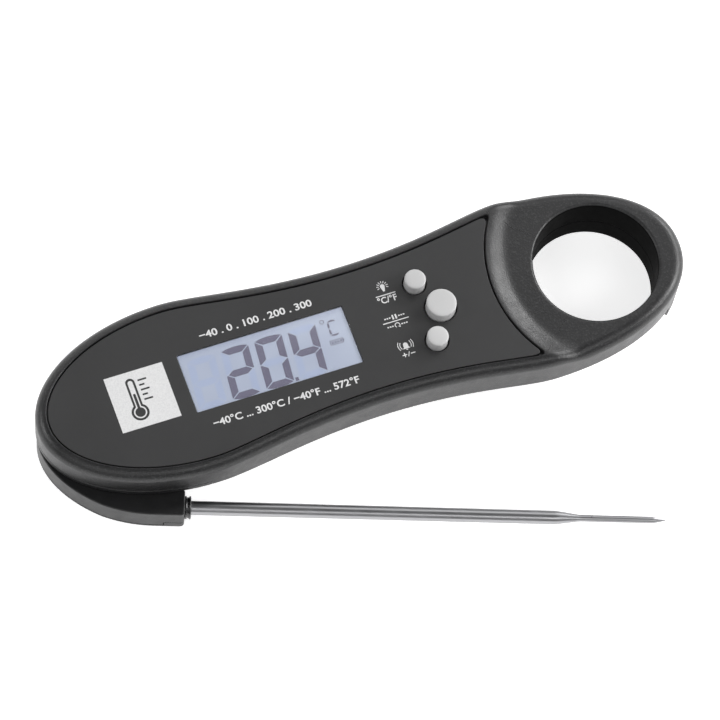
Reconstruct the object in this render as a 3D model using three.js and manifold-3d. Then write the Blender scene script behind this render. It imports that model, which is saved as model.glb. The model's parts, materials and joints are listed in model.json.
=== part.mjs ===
// Folding digital meat thermometer: a shell with a display, three buttons and a hanging ring,
// and a stainless probe on a hub that turns under the round end of the shell.
// Millimetres, +Z up (out of the display), +X towards the hanging ring.
// The origin is on the flat back, halfway along the body. The probe is shown part open.
import * as THREE from "three";
import { mergeVertices } from "three/addons/utils/BufferGeometryUtils.js";
import Module from "manifold-3d";

const wasm = await Module();
wasm.setup();

// ---------------------------------------------------------------- driving dimensions

const GAP = 0.3;

const HUB_END = { x: -46.9, length: 39.7, halfWidth: 23.8, power: 2 };
const RING_END = { x: 44.1, length: 42.5, halfWidth: 23.8, power: 2.15 };
const WAIST_HALF_WIDTH = 19.4;
const WAIST_HANDLES = { hubSide: 9, fromHub: 23, fromRing: 23, ringSide: 8 };

// Distances well outside the part, for the blocks that cut it.
const OUTSIDE = { x: 100, y: 40, z: 30 };

const BACK = 0;
const PLATE_TOP = 18.3;
const RIM_TOP = 18.55;
const RIM_WIDTH = 3;
const RIM_RADIUS = 3;
const BACK_RADIUS = 2.5;
const WALL = 2.2;

const RING_HOLE = { x: 63.3, radius: 16.2, lip: 0.8 };
const RING_STEP = { x: 70.4, outer: 35.6, inner: 29.1, drop: 2.15 };

const PLATE_THICKNESS = 1;
const PLATE_INSET = RIM_WIDTH + 0.25;
const RECESS_FLOOR = 17;
const DECK_BOTTOM = 15.3;

const PARTING = 7.3;
const HUB_PARTING = 10.3;
const HUB_PARTING_X = -48.5;
const LIP_TOP = 8.9;
const CAVITY_END_X = 37.1;
const REAR_FLOOR = 1.8;

const PIVOT = { x: -75.4, y: 0 };
const HUB_TOP = 8;
const HUB_RADIUS = 16.6;
const HUB_CEILING = 8.3;
const HUB_INSET = 0.15;
const OPEN_ANGLE = THREE.MathUtils.degToRad(20.1);

const ARM = { endX: -48.8, outerY: -21.6, innerY: -14.6 };
const WEB_END_X = PIVOT.x + 12;
const PROBE = { y: -18.1, z: 4.3, radius: 1.8, tipRadius: 0.9, rootX: -60, faceX: -47.2 };
const PROBE_LENGTHS = { tube: 92, taper: 5.7, tip: 19, point: 3.1 };
const CHANNEL = { wallY: -15.4, tipWallY: -16.95, narrowX: 51, endX: 76.5, rampEndX: -30 };
const RING_RECESS = { startX: 62, endX: 79.4, depth: 2.4 };

const WINDOW = { x: -25.4, y: 0, length: 44.3, width: 16.4 };
const BUTTONS = [
  { name: "light", x: 16.4, y: 8.15, radius: 2.75 },
  { name: "hold", x: 20.5, y: -0.1, radius: 3.85 },
  { name: "alarm", x: 16.4, y: -8.45, radius: 2.75 },
];
const BUTTON_TOP = PLATE_TOP + 3;
const BUTTON_FLANGE = { bottom: 14.4, top: 15, margin: 0.8 };

const BOARD = { bottom: 10.8, top: 11.8, leftX: -50.4, rightX: 29.2, inset: 3.6 };
const CASE_POST = { radius: 2.6, bore: 1.3, headWell: 2.5, bottom: 8.5, rearTop: 8.2 };
const BOARD_POST = { radius: 1.8, bore: 0.9 };
const CASE_SCREWS = [[-55, 8], [-55, -8], [32.2, 9], [32.2, -9]];
const BOARD_SCREWS = [[3.1, 9], [3.1, -9]];
const HUB_SCREWS = [[-74, -14], [-79.4, 9.6]];
const CASE_SCREW = { head: 2.1, shank: 0.95, bottom: 1.2, headTop: 2.7, tip: 13.4 };
const BOARD_SCREW = { head: 1.7, shank: 0.55, bottom: 9.5, headTop: 10.5, tip: 14 };
const HUB_SCREW = { head: 1.6, shank: 0.55, bottom: 0.15, headTop: 0.45, tip: 5 };

const BATTERY = { x: -16, y: 3, radius: 10, bottom: 3.3, top: 6.5 };
const COVER_RADIUS = 12;

// ---------------------------------------------------------------- materials

function plainMaterial(color, roughness, metalness = 0) {
  return new THREE.MeshStandardMaterial({ color, roughness, metalness });
}

const MATERIALS = {
  shell: plainMaterial(0x2c2d2f, 0.5),
  plate: plainMaterial(0x3a3b3d, 0.6),
  window: plainMaterial(0xc8d0e4, 0.15),
  glass: plainMaterial(0xbfc8dc, 0.3),
  lightGuide: plainMaterial(0xe6ecff, 0.4),
  whitePlastic: plainMaterial(0xe4e4e0, 0.5),
  button: plainMaterial(0xc9cacb, 0.45),
  steel: plainMaterial(0x9a9b9d, 0.3, 1),
  springSteel: plainMaterial(0xb5b6b8, 0.25, 1),
  brass: plainMaterial(0xb8923f, 0.35, 1),
  board: plainMaterial(0x1f5a34, 0.5),
  chip: plainMaterial(0x101012, 0.4),
  collar: plainMaterial(0x0c0c0d, 0.2),
  rubber: plainMaterial(0x1a1a1b, 0.8),
  lead: plainMaterial(0x8a1f1c, 0.6),
};

// ---------------------------------------------------------------- solids from three.js geometry

function toSolid(geometry) {
  const bare = geometry.clone();
  for (const name of Object.keys(bare.attributes)) {
    if (name !== "position") bare.deleteAttribute(name);
  }
  const merged = mergeVertices(bare, 1e-4);
  return new wasm.Manifold(new wasm.Mesh({
    numProp: 3,
    vertProperties: new Float32Array(merged.attributes.position.array),
    triVerts: new Uint32Array(merged.index.array),
  }));
}

function toGeometry(solid) {
  const mesh = solid.getMesh();
  const geometry = new THREE.BufferGeometry();
  geometry.setAttribute("position", new THREE.BufferAttribute(mesh.vertProperties, 3));
  geometry.setIndex(new THREE.BufferAttribute(mesh.triVerts, 1));
  const faceted = geometry.toNonIndexed();
  faceted.computeVertexNormals();
  return faceted;
}

function namedMesh(name, solid, material) {
  const mesh = new THREE.Mesh(toGeometry(solid), MATERIALS[material]);
  mesh.name = name;
  return mesh;
}

function block(x0, x1, y0, y1, z0, z1) {
  const geometry = new THREE.BoxGeometry(x1 - x0, y1 - y0, z1 - z0);
  geometry.translate((x0 + x1) / 2, (y0 + y1) / 2, (z0 + z1) / 2);
  return toSolid(geometry);
}

// A solid of revolution about an upright axis through (x, y). The profile is [radius, height] pairs
// going up on the outside, and it starts and ends on the axis or closes on itself.
function turned(profile, x, y, segments = 24) {
  const points = profile.map(([radius, height]) => new THREE.Vector2(radius, height));
  const geometry = new THREE.LatheGeometry(points, segments);
  geometry.rotateX(Math.PI / 2);
  geometry.translate(x, y, 0);
  return toSolid(geometry);
}

function disc(x, y, radius, bottom, top, segments = 24) {
  return turned([[0, bottom], [radius, bottom], [radius, top], [0, top]], x, y, segments);
}

function pipe(x, y, inner, outer, bottom, top, segments = 24) {
  const profile = [[inner, bottom], [outer, bottom], [outer, top], [inner, top], [inner, bottom]];
  return turned(profile, x, y, segments);
}

function sealRing(radius, tube, x, y, z) {
  const geometry = new THREE.TorusGeometry(radius, tube, 6, 24);
  geometry.translate(x, y, z);
  return toSolid(geometry);
}

function tubeAlong(points, radius, sides, steps) {
  const corners = Array.from({ length: sides }, (_, i) => {
    const angle = (i / sides) * Math.PI * 2;
    return new THREE.Vector2(radius * Math.cos(angle), radius * Math.sin(angle));
  });
  const section = new THREE.Shape(corners);
  const path = new THREE.CatmullRomCurve3(points.map((p) => new THREE.Vector3(...p)));
  const geometry = new THREE.ExtrudeGeometry(section, { extrudePath: path, steps, bevelEnabled: false });
  return toSolid(geometry);
}

// ---------------------------------------------------------------- body outline

// One quarter of an oval from its widest point to its tip, as points on |x|^n + |y|^n = 1.
function ovalQuarter(end, direction, steps) {
  const points = [];
  for (let i = 0; i <= steps; i += 1) {
    const angle = (i / steps) * Math.PI / 2;
    const along = Math.sin(angle) ** (2 / end.power);
    const across = Math.max(Math.cos(angle), 0) ** (2 / end.power);
    points.push(new THREE.Vector2(end.x + direction * end.length * along, end.halfWidth * across));
  }
  return points;
}

function waistCurve(startX, startY, startHandle, endX, endY, endHandle, steps) {
  const curve = new THREE.CubicBezierCurve(
    new THREE.Vector2(startX, startY),
    new THREE.Vector2(startX + startHandle, startY),
    new THREE.Vector2(endX - endHandle, endY),
    new THREE.Vector2(endX, endY),
  );
  return curve.getPoints(steps);
}

function farSide() {
  const hubOval = ovalQuarter(HUB_END, -1, 10).reverse();
  const toWaist = waistCurve(HUB_END.x, HUB_END.halfWidth, WAIST_HANDLES.hubSide,
    0, WAIST_HALF_WIDTH, WAIST_HANDLES.fromHub, 7);
  const fromWaist = waistCurve(0, WAIST_HALF_WIDTH, WAIST_HANDLES.fromRing,
    RING_END.x, RING_END.halfWidth, WAIST_HANDLES.ringSide, 7);
  const ringOval = ovalQuarter(RING_END, 1, 10);
  return [...hubOval, ...toWaist.slice(1), ...fromWaist.slice(1), ...ringOval.slice(1)];
}

const FAR_SIDE = farSide();

// The closed outline, anticlockwise from the ring's tip, moved inwards along its normals.
function bodyOutline(inset = 0) {
  const last = FAR_SIDE.length - 1;
  const inner = FAR_SIDE.map((point, i) => {
    const before = FAR_SIDE[Math.max(i - 1, 0)];
    const after = FAR_SIDE[Math.min(i + 1, last)];
    const along = new THREE.Vector2().subVectors(after, before).normalize();
    if (i === 0 || i === last) along.set(0, i === 0 ? 1 : -1);
    return new THREE.Vector2(point.x + along.y * inset, point.y - along.x * inset);
  });
  const far = [...inner].reverse();
  const near = inner.slice(1, last).map((point) => new THREE.Vector2(point.x, -point.y));
  return [...far, ...near];
}

// Height of the top surface below the rim: zero on the body, the full drop on the ring.
function ringDrop(x, y) {
  const distance = Math.hypot(x - RING_STEP.x, y);
  const t = THREE.MathUtils.clamp((RING_STEP.outer - distance) / (RING_STEP.outer - RING_STEP.inner), 0, 1);
  return RING_STEP.drop * t * t * (3 - 2 * t);
}

// A solid through body outlines at rising levels {z, inset, follow}: follow says how much of the
// ring's drop that level takes.
function lofted(levels) {
  const rings = levels.map(({ z, inset, follow = 0 }) => bodyOutline(inset)
    .map((p) => new THREE.Vector3(p.x, p.y, z - follow * ringDrop(p.x, p.y))));
  const count = rings[0].length;
  const positions = rings.flat().flatMap((p) => [p.x, p.y, p.z]);
  const indices = [];
  for (let level = 0; level + 1 < rings.length; level += 1) {
    for (let i = 0; i < count; i += 1) {
      const a = level * count + i;
      const b = level * count + ((i + 1) % count);
      indices.push(a, b, b + count, a, b + count, a + count);
    }
  }
  const flat = rings[0].map((p) => new THREE.Vector2(p.x, p.y));
  const top = (rings.length - 1) * count;
  for (const [a, b, c] of THREE.ShapeUtils.triangulateShape(flat, [])) {
    indices.push(a, c, b, top + a, top + b, top + c);
  }
  const geometry = new THREE.BufferGeometry();
  geometry.setAttribute("position", new THREE.Float32BufferAttribute(positions, 3));
  geometry.setIndex(indices);
  return toSolid(geometry);
}

function outlineSlab(inset, bottom, top) {
  return lofted([{ z: bottom, inset }, { z: top, inset }]);
}

// Everything on the hub's side, or on the ring's side, of a place along the body.
function hubSideOf(x, bottom = BACK, top = OUTSIDE.z) {
  return block(-OUTSIDE.x, x, -OUTSIDE.y, OUTSIDE.y, bottom, top);
}

function ringSideOf(x, bottom = BACK, top = OUTSIDE.z) {
  return block(x, OUTSIDE.x, -OUTSIDE.y, OUTSIDE.y, bottom, top);
}

// ---------------------------------------------------------------- shells

function frontBlank() {
  const levels = [{ z: PARTING, inset: 0 }];
  const steps = 3;
  for (let i = 0; i <= steps; i += 1) {
    const angle = (i / steps) * Math.PI / 2;
    levels.push({
      z: RIM_TOP - RIM_RADIUS * (1 - Math.sin(angle)),
      inset: RIM_RADIUS * (1 - Math.cos(angle)),
      follow: 1,
    });
  }
  levels.push({ z: RIM_TOP + 1, inset: RIM_WIDTH + 0.01 });
  return lofted(levels);
}

// Everything above the plate, the slope and the flat of the ring.
function aboveSurface() {
  const profile = [[0, RIM_TOP - RING_STEP.drop]];
  const steps = 4;
  for (let i = 0; i <= steps; i += 1) {
    const radius = RING_STEP.inner + (i / steps) * (RING_STEP.outer - RING_STEP.inner);
    profile.push([radius, RIM_TOP - ringDrop(RING_STEP.x - radius, 0)]);
  }
  profile.push([90, RIM_TOP], [90, RIM_TOP + 20], [0, RIM_TOP + 20]);
  const nearRing = turned(profile, RING_STEP.x, 0, 48);
  return nearRing.add(block(-100, 0, -40, 40, RIM_TOP, RIM_TOP + 20));
}

function plateOutlineSlab(inset, arcRadius, bottom, top) {
  return outlineSlab(inset, bottom, top)
    .subtract(disc(RING_STEP.x, 0, arcRadius, bottom - 1, top + 1, 60));
}

function ringHole() {
  const top = RIM_TOP - RING_STEP.drop;
  const { x, radius, lip } = RING_HOLE;
  const profile = [[0, BACK - 1], [radius, BACK - 1], [radius, top - lip]];
  for (let i = 1; i <= 2; i += 1) {
    const angle = (i / 2) * Math.PI / 2;
    profile.push([radius + lip * (1 - Math.cos(angle)), top - lip * (1 - Math.sin(angle))]);
  }
  profile.push([radius + lip, top + 5], [0, top + 5]);
  return turned(profile, x, 0, 44);
}

function frontShell() {
  const { x, y, length, width } = WINDOW;
  let shell = frontBlank().subtract(aboveSurface());
  shell = shell.subtract(plateOutlineSlab(RIM_WIDTH, RING_STEP.outer - 0.1, RECESS_FLOOR, RIM_TOP + 5));
  const cavity = outlineSlab(WALL, PARTING - 1, DECK_BOTTOM).subtract(ringSideOf(CAVITY_END_X));
  const groove = outlineSlab(WALL / 2, PARTING - 1, LIP_TOP + GAP).subtract(ringSideOf(CAVITY_END_X));
  shell = shell.subtract(cavity).subtract(groove).subtract(probeChannel());
  shell = shell.subtract(hubSideOf(HUB_PARTING_X, BACK, HUB_PARTING));
  const roundGlass = { x: length / 2 + 3.2, y: width / 2 + 2.6 };
  shell = shell.subtract(block(x - roundGlass.x, x + roundGlass.x, y - roundGlass.y, y + roundGlass.y,
    DECK_BOTTOM - 1, OUTSIDE.z));
  for (const [sx, sy] of CASE_SCREWS) {
    shell = shell.add(disc(sx, sy, CASE_POST.radius, CASE_POST.bottom, DECK_BOTTOM + 0.5, 20));
    shell = shell.subtract(disc(sx, sy, CASE_POST.bore, CASE_POST.bottom - 0.5, 14, 12));
  }
  for (const [sx, sy] of BOARD_SCREWS) {
    shell = shell.add(disc(sx, sy, BOARD_POST.radius, BOARD.top + GAP, DECK_BOTTOM + 0.5, 16));
    shell = shell.subtract(disc(sx, sy, BOARD_POST.bore, BOARD.top - 1, 14.5, 10));
  }
  for (const button of BUTTONS) {
    shell = shell.subtract(disc(button.x, button.y, button.radius + GAP, DECK_BOTTOM - 1, OUTSIDE.z));
  }
  return shell.subtract(ringHole());
}

// Space that the hub and its arm need, from the pivot outwards to the end of the body.
function hubPocket() {
  const clear = 0.4;
  const round = disc(PIVOT.x, PIVOT.y, HUB_RADIUS + clear, BACK - 1, HUB_CEILING, 40);
  const end = hubSideOf(PIVOT.x, BACK - 1, HUB_CEILING);
  const arm = block(PIVOT.x, ARM.endX + 2.6, -OUTSIDE.y, ARM.innerY + clear, BACK - 1, HUB_CEILING);
  const web = block(PIVOT.x, WEB_END_X + clear, -OUTSIDE.y, -11, BACK - 1, HUB_CEILING);
  return round.add(end).add(arm).add(web);
}

// The channel's ceiling slopes down from the hub's pocket. Round the ring it follows the outline.
function probeChannel() {
  const start = ARM.endX + 2;
  const outer = -OUTSIDE.y;
  const tube = block(start, CHANNEL.narrowX, outer, CHANNEL.wallY, BACK - 1, PARTING);
  const tip = block(start, CHANNEL.endX, outer, CHANNEL.tipWallY, BACK - 1, PARTING);
  const high = block(start, start + 0.1, outer, CHANNEL.wallY, PARTING - 1, HUB_CEILING);
  const low = block(start, CHANNEL.rampEndX, outer, CHANNEL.wallY, PARTING - 1, PARTING);
  const ramp = wasm.Manifold.hull([high, low]);
  const { startX, endX, depth } = RING_RECESS;
  const roundRing = outlineSlab(-1, BACK - 1, PARTING)
    .subtract(outlineSlab(depth, BACK - 2, PARTING + 1))
    .intersect(block(startX, endX, outer, 0, BACK - 1, PARTING));
  return tube.add(tip).add(ramp).add(roundRing);
}

function rearCavity() {
  const nearWall = CHANNEL.wallY + WALL + 0.9;
  return outlineSlab(WALL, REAR_FLOOR, HUB_PARTING + 1)
    .subtract(disc(PIVOT.x, PIVOT.y, HUB_RADIUS + 2.4, BACK, OUTSIDE.z, 32))
    .subtract(hubSideOf(PIVOT.x + 5))
    .subtract(block(-OUTSIDE.x, OUTSIDE.x, -OUTSIDE.y, nearWall, BACK, OUTSIDE.z))
    .subtract(ringSideOf(CAVITY_END_X - 2));
}

// Openings in the floor for the battery cover: a round hole with a notch for each lug.
function coverOpening() {
  let opening = disc(BATTERY.x, BATTERY.y, COVER_RADIUS + GAP, BACK - 1, REAR_FLOOR + 0.5, 32);
  const notch = block(COVER_RADIUS, COVER_RADIUS + 1.9, -2.6, 2.6, BACK - 1, REAR_FLOOR + 0.5);
  for (let i = 0; i < 3; i += 1) {
    const turned = notch.rotate([0, 0, 120 * i + 60]).translate([BATTERY.x, BATTERY.y, 0]);
    opening = opening.add(turned);
  }
  return opening;
}

function rearShell() {
  const levels = [];
  const steps = 2;
  for (let i = 0; i <= steps; i += 1) {
    const angle = (i / steps) * Math.PI / 2;
    levels.push({ z: BACK_RADIUS * (1 - Math.cos(angle)), inset: BACK_RADIUS * (1 - Math.sin(angle)) });
  }
  levels.push({ z: PARTING - GAP, inset: 0 });
  let shell = lofted(levels);
  const lip = outlineSlab(WALL / 2 + GAP, PARTING - 2, LIP_TOP)
    .intersect(ringSideOf(HUB_PARTING_X))
    .intersect(hubSideOf(CAVITY_END_X - GAP));
  const strip = outlineSlab(0, PARTING - 2, HUB_PARTING - GAP)
    .intersect(hubSideOf(HUB_PARTING_X - GAP));
  const bridge = outlineSlab(WALL / 2 + GAP, PARTING - 2, LIP_TOP)
    .intersect(ringSideOf(HUB_PARTING_X - 3))
    .intersect(hubSideOf(HUB_PARTING_X + 1));
  shell = shell.add(lip).add(strip).add(bridge);
  shell = shell.subtract(rearCavity()).subtract(hubPocket()).subtract(probeChannel());
  for (const [sx, sy] of CASE_SCREWS) {
    shell = shell.add(disc(sx, sy, CASE_POST.radius, REAR_FLOOR - 0.5, CASE_POST.rearTop, 20));
    shell = shell.subtract(disc(sx, sy, CASE_POST.headWell, BACK - 1, 3, 20));
    shell = shell.subtract(disc(sx, sy, CASE_POST.bore, BACK - 1, CASE_POST.rearTop + 1, 12));
  }
  shell = shell.subtract(disc(PIVOT.x, PIVOT.y, 3.3, HUB_CEILING - 1, HUB_PARTING + 1, 24));
  return shell.subtract(coverOpening()).subtract(ringHole());
}

// ---------------------------------------------------------------- face, display and buttons

function facePlate() {
  const { x, y, length, width } = WINDOW;
  const bottom = PLATE_TOP - PLATE_THICKNESS;
  let plate = plateOutlineSlab(PLATE_INSET, RING_STEP.outer + 0.15, bottom, PLATE_TOP);
  plate = plate.subtract(block(x - length / 2, x + length / 2, y - width / 2, y + width / 2, 0, OUTSIDE.z));
  for (const button of BUTTONS) {
    plate = plate.subtract(disc(button.x, button.y, button.radius + 0.25, 0, OUTSIDE.z));
  }
  return plate;
}

function centredBlock(length, width, bottom, top, shiftY = 0) {
  return block(WINDOW.x - length / 2, WINDOW.x + length / 2,
    shiftY - width / 2, shiftY + width / 2, bottom, top);
}

function displayWindow() {
  const edge = 0.1;
  return centredBlock(WINDOW.length - 2 * edge, WINDOW.width - 2 * edge,
    PLATE_TOP - PLATE_THICKNESS, PLATE_TOP - 0.05);
}

function displayHolder() {
  const outer = centredBlock(52.4, 23.6, BOARD.top + GAP, DECK_BOTTOM - GAP);
  const inner = centredBlock(49.4, 20.6, BOARD.top, DECK_BOTTOM);
  return outer.subtract(inner);
}

function buttonCap({ x, y, radius }) {
  const edge = 0.5;
  const { bottom, top, margin } = BUTTON_FLANGE;
  const profile = [[0, bottom], [radius + margin, bottom], [radius + margin, top], [radius, top]];
  for (let i = 0; i <= 2; i += 1) {
    const angle = (i / 2) * Math.PI / 2;
    const rise = BUTTON_TOP - edge * (1 - Math.sin(angle));
    profile.push([radius - edge * (1 - Math.cos(angle)), rise]);
  }
  profile.push([0, BUTTON_TOP]);
  return turned(profile, x, y, 24);
}

function pushSwitch({ x, y }) {
  const side = 4.4;
  const foot = block(x - side / 2, x + side / 2, y - side / 2, y + side / 2, BOARD.top + GAP, 13);
  return foot.add(disc(x, y, 1.1, 12.9, 13.3, 16));
}

// ---------------------------------------------------------------- board and battery

function circuitBoard() {
  let board = outlineSlab(BOARD.inset, BOARD.bottom, BOARD.top)
    .intersect(ringSideOf(BOARD.leftX))
    .intersect(hubSideOf(BOARD.rightX));
  for (const [sx, sy] of BOARD_SCREWS) {
    board = board.subtract(disc(sx, sy, 1.3, 0, OUTSIDE.z, 12));
  }
  return board;
}

function controllerChip() {
  return turned([[0, 9.5], [3.2, 9.6], [4.6, 10], [5, 10.5], [0, 10.5]], -38, 3, 20);
}

function buzzer() {
  const body = disc(14, 4, 6, 7.6, 10.5, 28);
  return body.subtract(disc(14, 4, 1, 7, 9, 12));
}

function reedSwitch() {
  const geometry = new THREE.CapsuleGeometry(0.9, 7, 4, 10);
  geometry.rotateZ(Math.PI / 2);
  geometry.translate(-43, -9, 9.5);
  return toSolid(geometry);
}

function coinBattery() {
  const { x, y, radius, bottom, top } = BATTERY;
  const step = 0.6;
  return turned([[0, bottom], [radius, bottom], [radius, top - step], [radius - 1.2, top - step],
    [radius - 1.2, top], [0, top]], x, y, 28);
}

function batteryHolder() {
  const { x, y, radius, bottom, top } = BATTERY;
  const ring = pipe(x, y, radius + 0.35, radius + 1.9, bottom + 0.1, top + 0.7, 28);
  return ring.subtract(block(x - radius - 3, x - radius + 1, y - 3.6, y + 3.6, BACK, OUTSIDE.z));
}

function positiveContact() {
  const { x, y, radius, bottom } = BATTERY;
  const halfWidth = 3;
  const edge = x - radius;
  const top = BOARD.bottom - GAP;
  const side = block(edge - 0.8, edge - 0.3, y - halfWidth, y + halfWidth, bottom, top);
  return side.add(block(edge - 3, edge - 0.5, y - halfWidth, y + halfWidth, top - 0.5, top));
}

function negativeContact() {
  const { x, y, top } = BATTERY;
  const leaf = block(x - 7, x + 7, y - 2, y + 2, top + GAP, top + 0.7);
  const leg = block(x + 6.6, x + 7, y - 2, y + 2, top + GAP, BOARD.bottom - GAP);
  return leaf.add(leg).add(block(x + 6.6, x + 9.5, y - 2, y + 2, BOARD.bottom - 0.7, BOARD.bottom - GAP));
}

function batteryCover() {
  const { x, y } = BATTERY;
  let cover = turned([[0, 0.1], [COVER_RADIUS - 0.2, 0.1], [COVER_RADIUS, 0.3], [COVER_RADIUS, 1.35],
    [10.6, 1.35], [10.6, 3], [9.6, 3], [9.6, 1.5], [0, 1.5]], x, y, 32);
  const lug = block(10.3, 13.4, -2, 2, 2.4, 3);
  for (let i = 0; i < 3; i += 1) {
    cover = cover.add(lug.rotate([0, 0, 120 * i]).translate([x, y, 0]));
  }
  return cover.subtract(block(x - 5, x + 5, y - 0.8, y + 0.8, -1, 0.9));
}

function coverSeal() {
  return sealRing(11.2, 0.4, BATTERY.x, BATTERY.y, 1.85);
}

// ---------------------------------------------------------------- screws

function screw(x, y, { head, shank, bottom, headTop, tip }) {
  const body = turned([[0, bottom], [head, bottom], [head, headTop],
    [shank, headTop], [shank, tip - shank], [0, tip]], x, y, 10);
  const slot = head * 0.15;
  const reach = head * 0.7;
  return body.subtract(block(x - reach, x + reach, y - slot, y + slot, bottom - 1, bottom + slot * 2));
}

// ---------------------------------------------------------------- pivot

function pivotBush() {
  const { x, y } = PIVOT;
  const flangeBottom = HUB_PARTING;
  return turned([[1.6, 2.2], [2.4, 2.2], [2.4, 2.6], [2.1, 2.6], [2.1, 3.2], [3, 3.2], [3, flangeBottom],
    [5, flangeBottom], [5, flangeBottom + 1], [1.6, flangeBottom + 1], [1.6, 2.2]], x, y, 20);
}

function pivotWasher() {
  return pipe(PIVOT.x, PIVOT.y, 3.3, 5.4, 3.5, 4.1, 20);
}

function pivotClip() {
  const ring = pipe(PIVOT.x, PIVOT.y, 2.35, 4.6, 2.75, 3.1, 20);
  return ring.subtract(block(PIVOT.x, PIVOT.x + 6, PIVOT.y - 1.2, PIVOT.y + 1.2, 2, 4));
}

function hubSeal() {
  return sealRing(7, 0.45, PIVOT.x, PIVOT.y, 7.75);
}

// ---------------------------------------------------------------- hub and probe, in the folded position

function armBlock(inset, bottom, top) {
  return block(PIVOT.x + 2, ARM.endX - inset, ARM.outerY + inset, ARM.innerY - inset, bottom, top);
}

// The hub's plan: the end of the body up to a circle about the pivot, with the arm along one side.
function hubPlan(inset, bottom, top) {
  const end = outlineSlab(HUB_INSET + inset, bottom, top);
  const left = block(-OUTSIDE.x, PIVOT.x, ARM.outerY + inset, OUTSIDE.y, bottom - 1, top + 1);
  const round = disc(PIVOT.x, PIVOT.y, HUB_RADIUS - inset, bottom - 1, top + 1, 40);
  const web = block(PIVOT.x - 5, WEB_END_X - inset, ARM.outerY + inset, 0, bottom - 1, top + 1);
  return end.intersect(left.add(round).add(web)).add(armBlock(inset, bottom, top).intersect(end));
}

const HUB_COVER_TOP = 0.85;
const ARM_BLOCK = { startX: ARM.endX - 5.2, top: 2.6 };
const DETENT = { x: PIVOT.x + 10.6, y: 0 };
const MAGNET = { x: PIVOT.x + 4, y: -10.5 };

function armEndBlock(margin, top) {
  return block(ARM_BLOCK.startX - margin, 0, -OUTSIDE.y, 0, BACK - 1, top + margin);
}

function hubBody() {
  const floor = HUB_COVER_TOP + 0.2;
  let hub = hubPlan(0, floor, HUB_TOP);
  const hollow = hubPlan(1.8, BACK - 1, HUB_TOP - 1.7)
    .subtract(block(ARM_BLOCK.startX - 1.5, 0, -OUTSIDE.y, 0, BACK - 5, OUTSIDE.z));
  hub = hub.subtract(hollow);
  hub = hub.add(disc(PIVOT.x, PIVOT.y, 5.4, 4.4, HUB_TOP - 0.5, 20));
  hub = hub.add(disc(DETENT.x, DETENT.y, 2.1, 3, HUB_TOP - 0.5, 20));
  for (const [sx, sy] of HUB_SCREWS) {
    hub = hub.add(disc(sx, sy, BOARD_POST.radius, floor, HUB_TOP - 0.5, 16));
    hub = hub.subtract(disc(sx, sy, BOARD_POST.bore, BACK - 1, 5.5, 10));
  }
  hub = hub.subtract(disc(PIVOT.x, PIVOT.y, 3.3, BACK - 1, OUTSIDE.z, 20));
  hub = hub.subtract(disc(DETENT.x, DETENT.y, 1.4, 3.8, OUTSIDE.z, 16));
  hub = hub.subtract(pipe(PIVOT.x, PIVOT.y, 6.2, 7.8, 7, HUB_TOP + 1, 24));
  hub = hub.subtract(armEndBlock(0.2, ARM_BLOCK.top));
  return hub.subtract(probeBore());
}

function hubCover() {
  const plate = hubPlan(0, BACK, HUB_COVER_TOP);
  const toe = hubPlan(0, BACK, ARM_BLOCK.top).intersect(armEndBlock(0, ARM_BLOCK.top));
  let cover = plate.add(toe);
  for (const [sx, sy] of HUB_SCREWS) {
    cover = cover.subtract(disc(sx, sy, HUB_SCREW.head + GAP, BACK - 1, 0.5, 16));
    cover = cover.subtract(disc(sx, sy, BOARD_POST.bore, BACK - 1, 3, 10));
  }
  return cover.subtract(probeBore());
}

// A solid of revolution along the probe's axis: [radius, x] pairs from the root to the tip.
function alongProbe(profile, segments) {
  const points = profile.map(([radius, x]) => new THREE.Vector2(radius, x));
  const geometry = new THREE.LatheGeometry(points, segments);
  geometry.rotateZ(-Math.PI / 2);
  geometry.translate(0, PROBE.y, PROBE.z);
  return toSolid(geometry);
}

function probeBore() {
  const radius = PROBE.radius + 0.8;
  const start = PROBE.rootX - 1;
  const end = ARM.endX + 5;
  return alongProbe([[0, start], [radius, start], [radius, end], [0, end]], 24);
}

function probeCollar() {
  const inner = PROBE.radius + 0.25;
  const start = ARM.endX + GAP;
  const end = PROBE.faceX;
  const root = ARM.endX - 4;
  const neck = 2.3;
  const waist = 2.7;
  const flange = 3;
  return alongProbe([
    [inner, root], [neck, root], [neck, start], [flange, start], [flange, start + 0.35],
    [waist, start + 0.6], [waist, end - 0.45], [flange, end - 0.3], [waist, end], [inner, end],
    [inner, root],
  ], 20);
}

function probeTube() {
  const wall = 0.35;
  const { tube, taper, tip, point } = PROBE_LENGTHS;
  const shoulder = PROBE.faceX + tube;
  const neck = shoulder + taper;
  const pointStart = neck + tip;
  const end = pointStart + point;
  return alongProbe([
    [PROBE.radius - wall, PROBE.rootX], [PROBE.radius, PROBE.rootX], [PROBE.radius, shoulder],
    [PROBE.tipRadius, neck], [PROBE.tipRadius, pointStart], [0.12, end], [0, end],
    [0, pointStart - 0.5], [0.5, pointStart - 1], [0.5, neck], [PROBE.radius - wall, shoulder],
    [PROBE.radius - wall, PROBE.rootX],
  ], 16);
}

function temperatureSensor() {
  const end = PROBE.faceX + PROBE_LENGTHS.tube + PROBE_LENGTHS.taper + PROBE_LENGTHS.tip - 2;
  return alongProbe([[0, end - 3], [0.3, end - 2.7], [0.3, end - 0.3], [0, end]], 8);
}

function probeLead() {
  const { y, z } = PROBE;
  const sensor = PROBE.faceX + PROBE_LENGTHS.tube + PROBE_LENGTHS.taper + PROBE_LENGTHS.tip - 5.5;
  return tubeAlong([
    [sensor, y, z], [10, y, z], [-40, y, z], [-58, y, z], [-62.5, y, z], [-66.8, -16.4, 3.2],
    [-69, -11.5, 2.4], [-72, -5.5, 1.8], [PIVOT.x + 0.4, PIVOT.y - 0.6, 1.5],
  ], 0.25, 6, 30);
}

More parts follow.
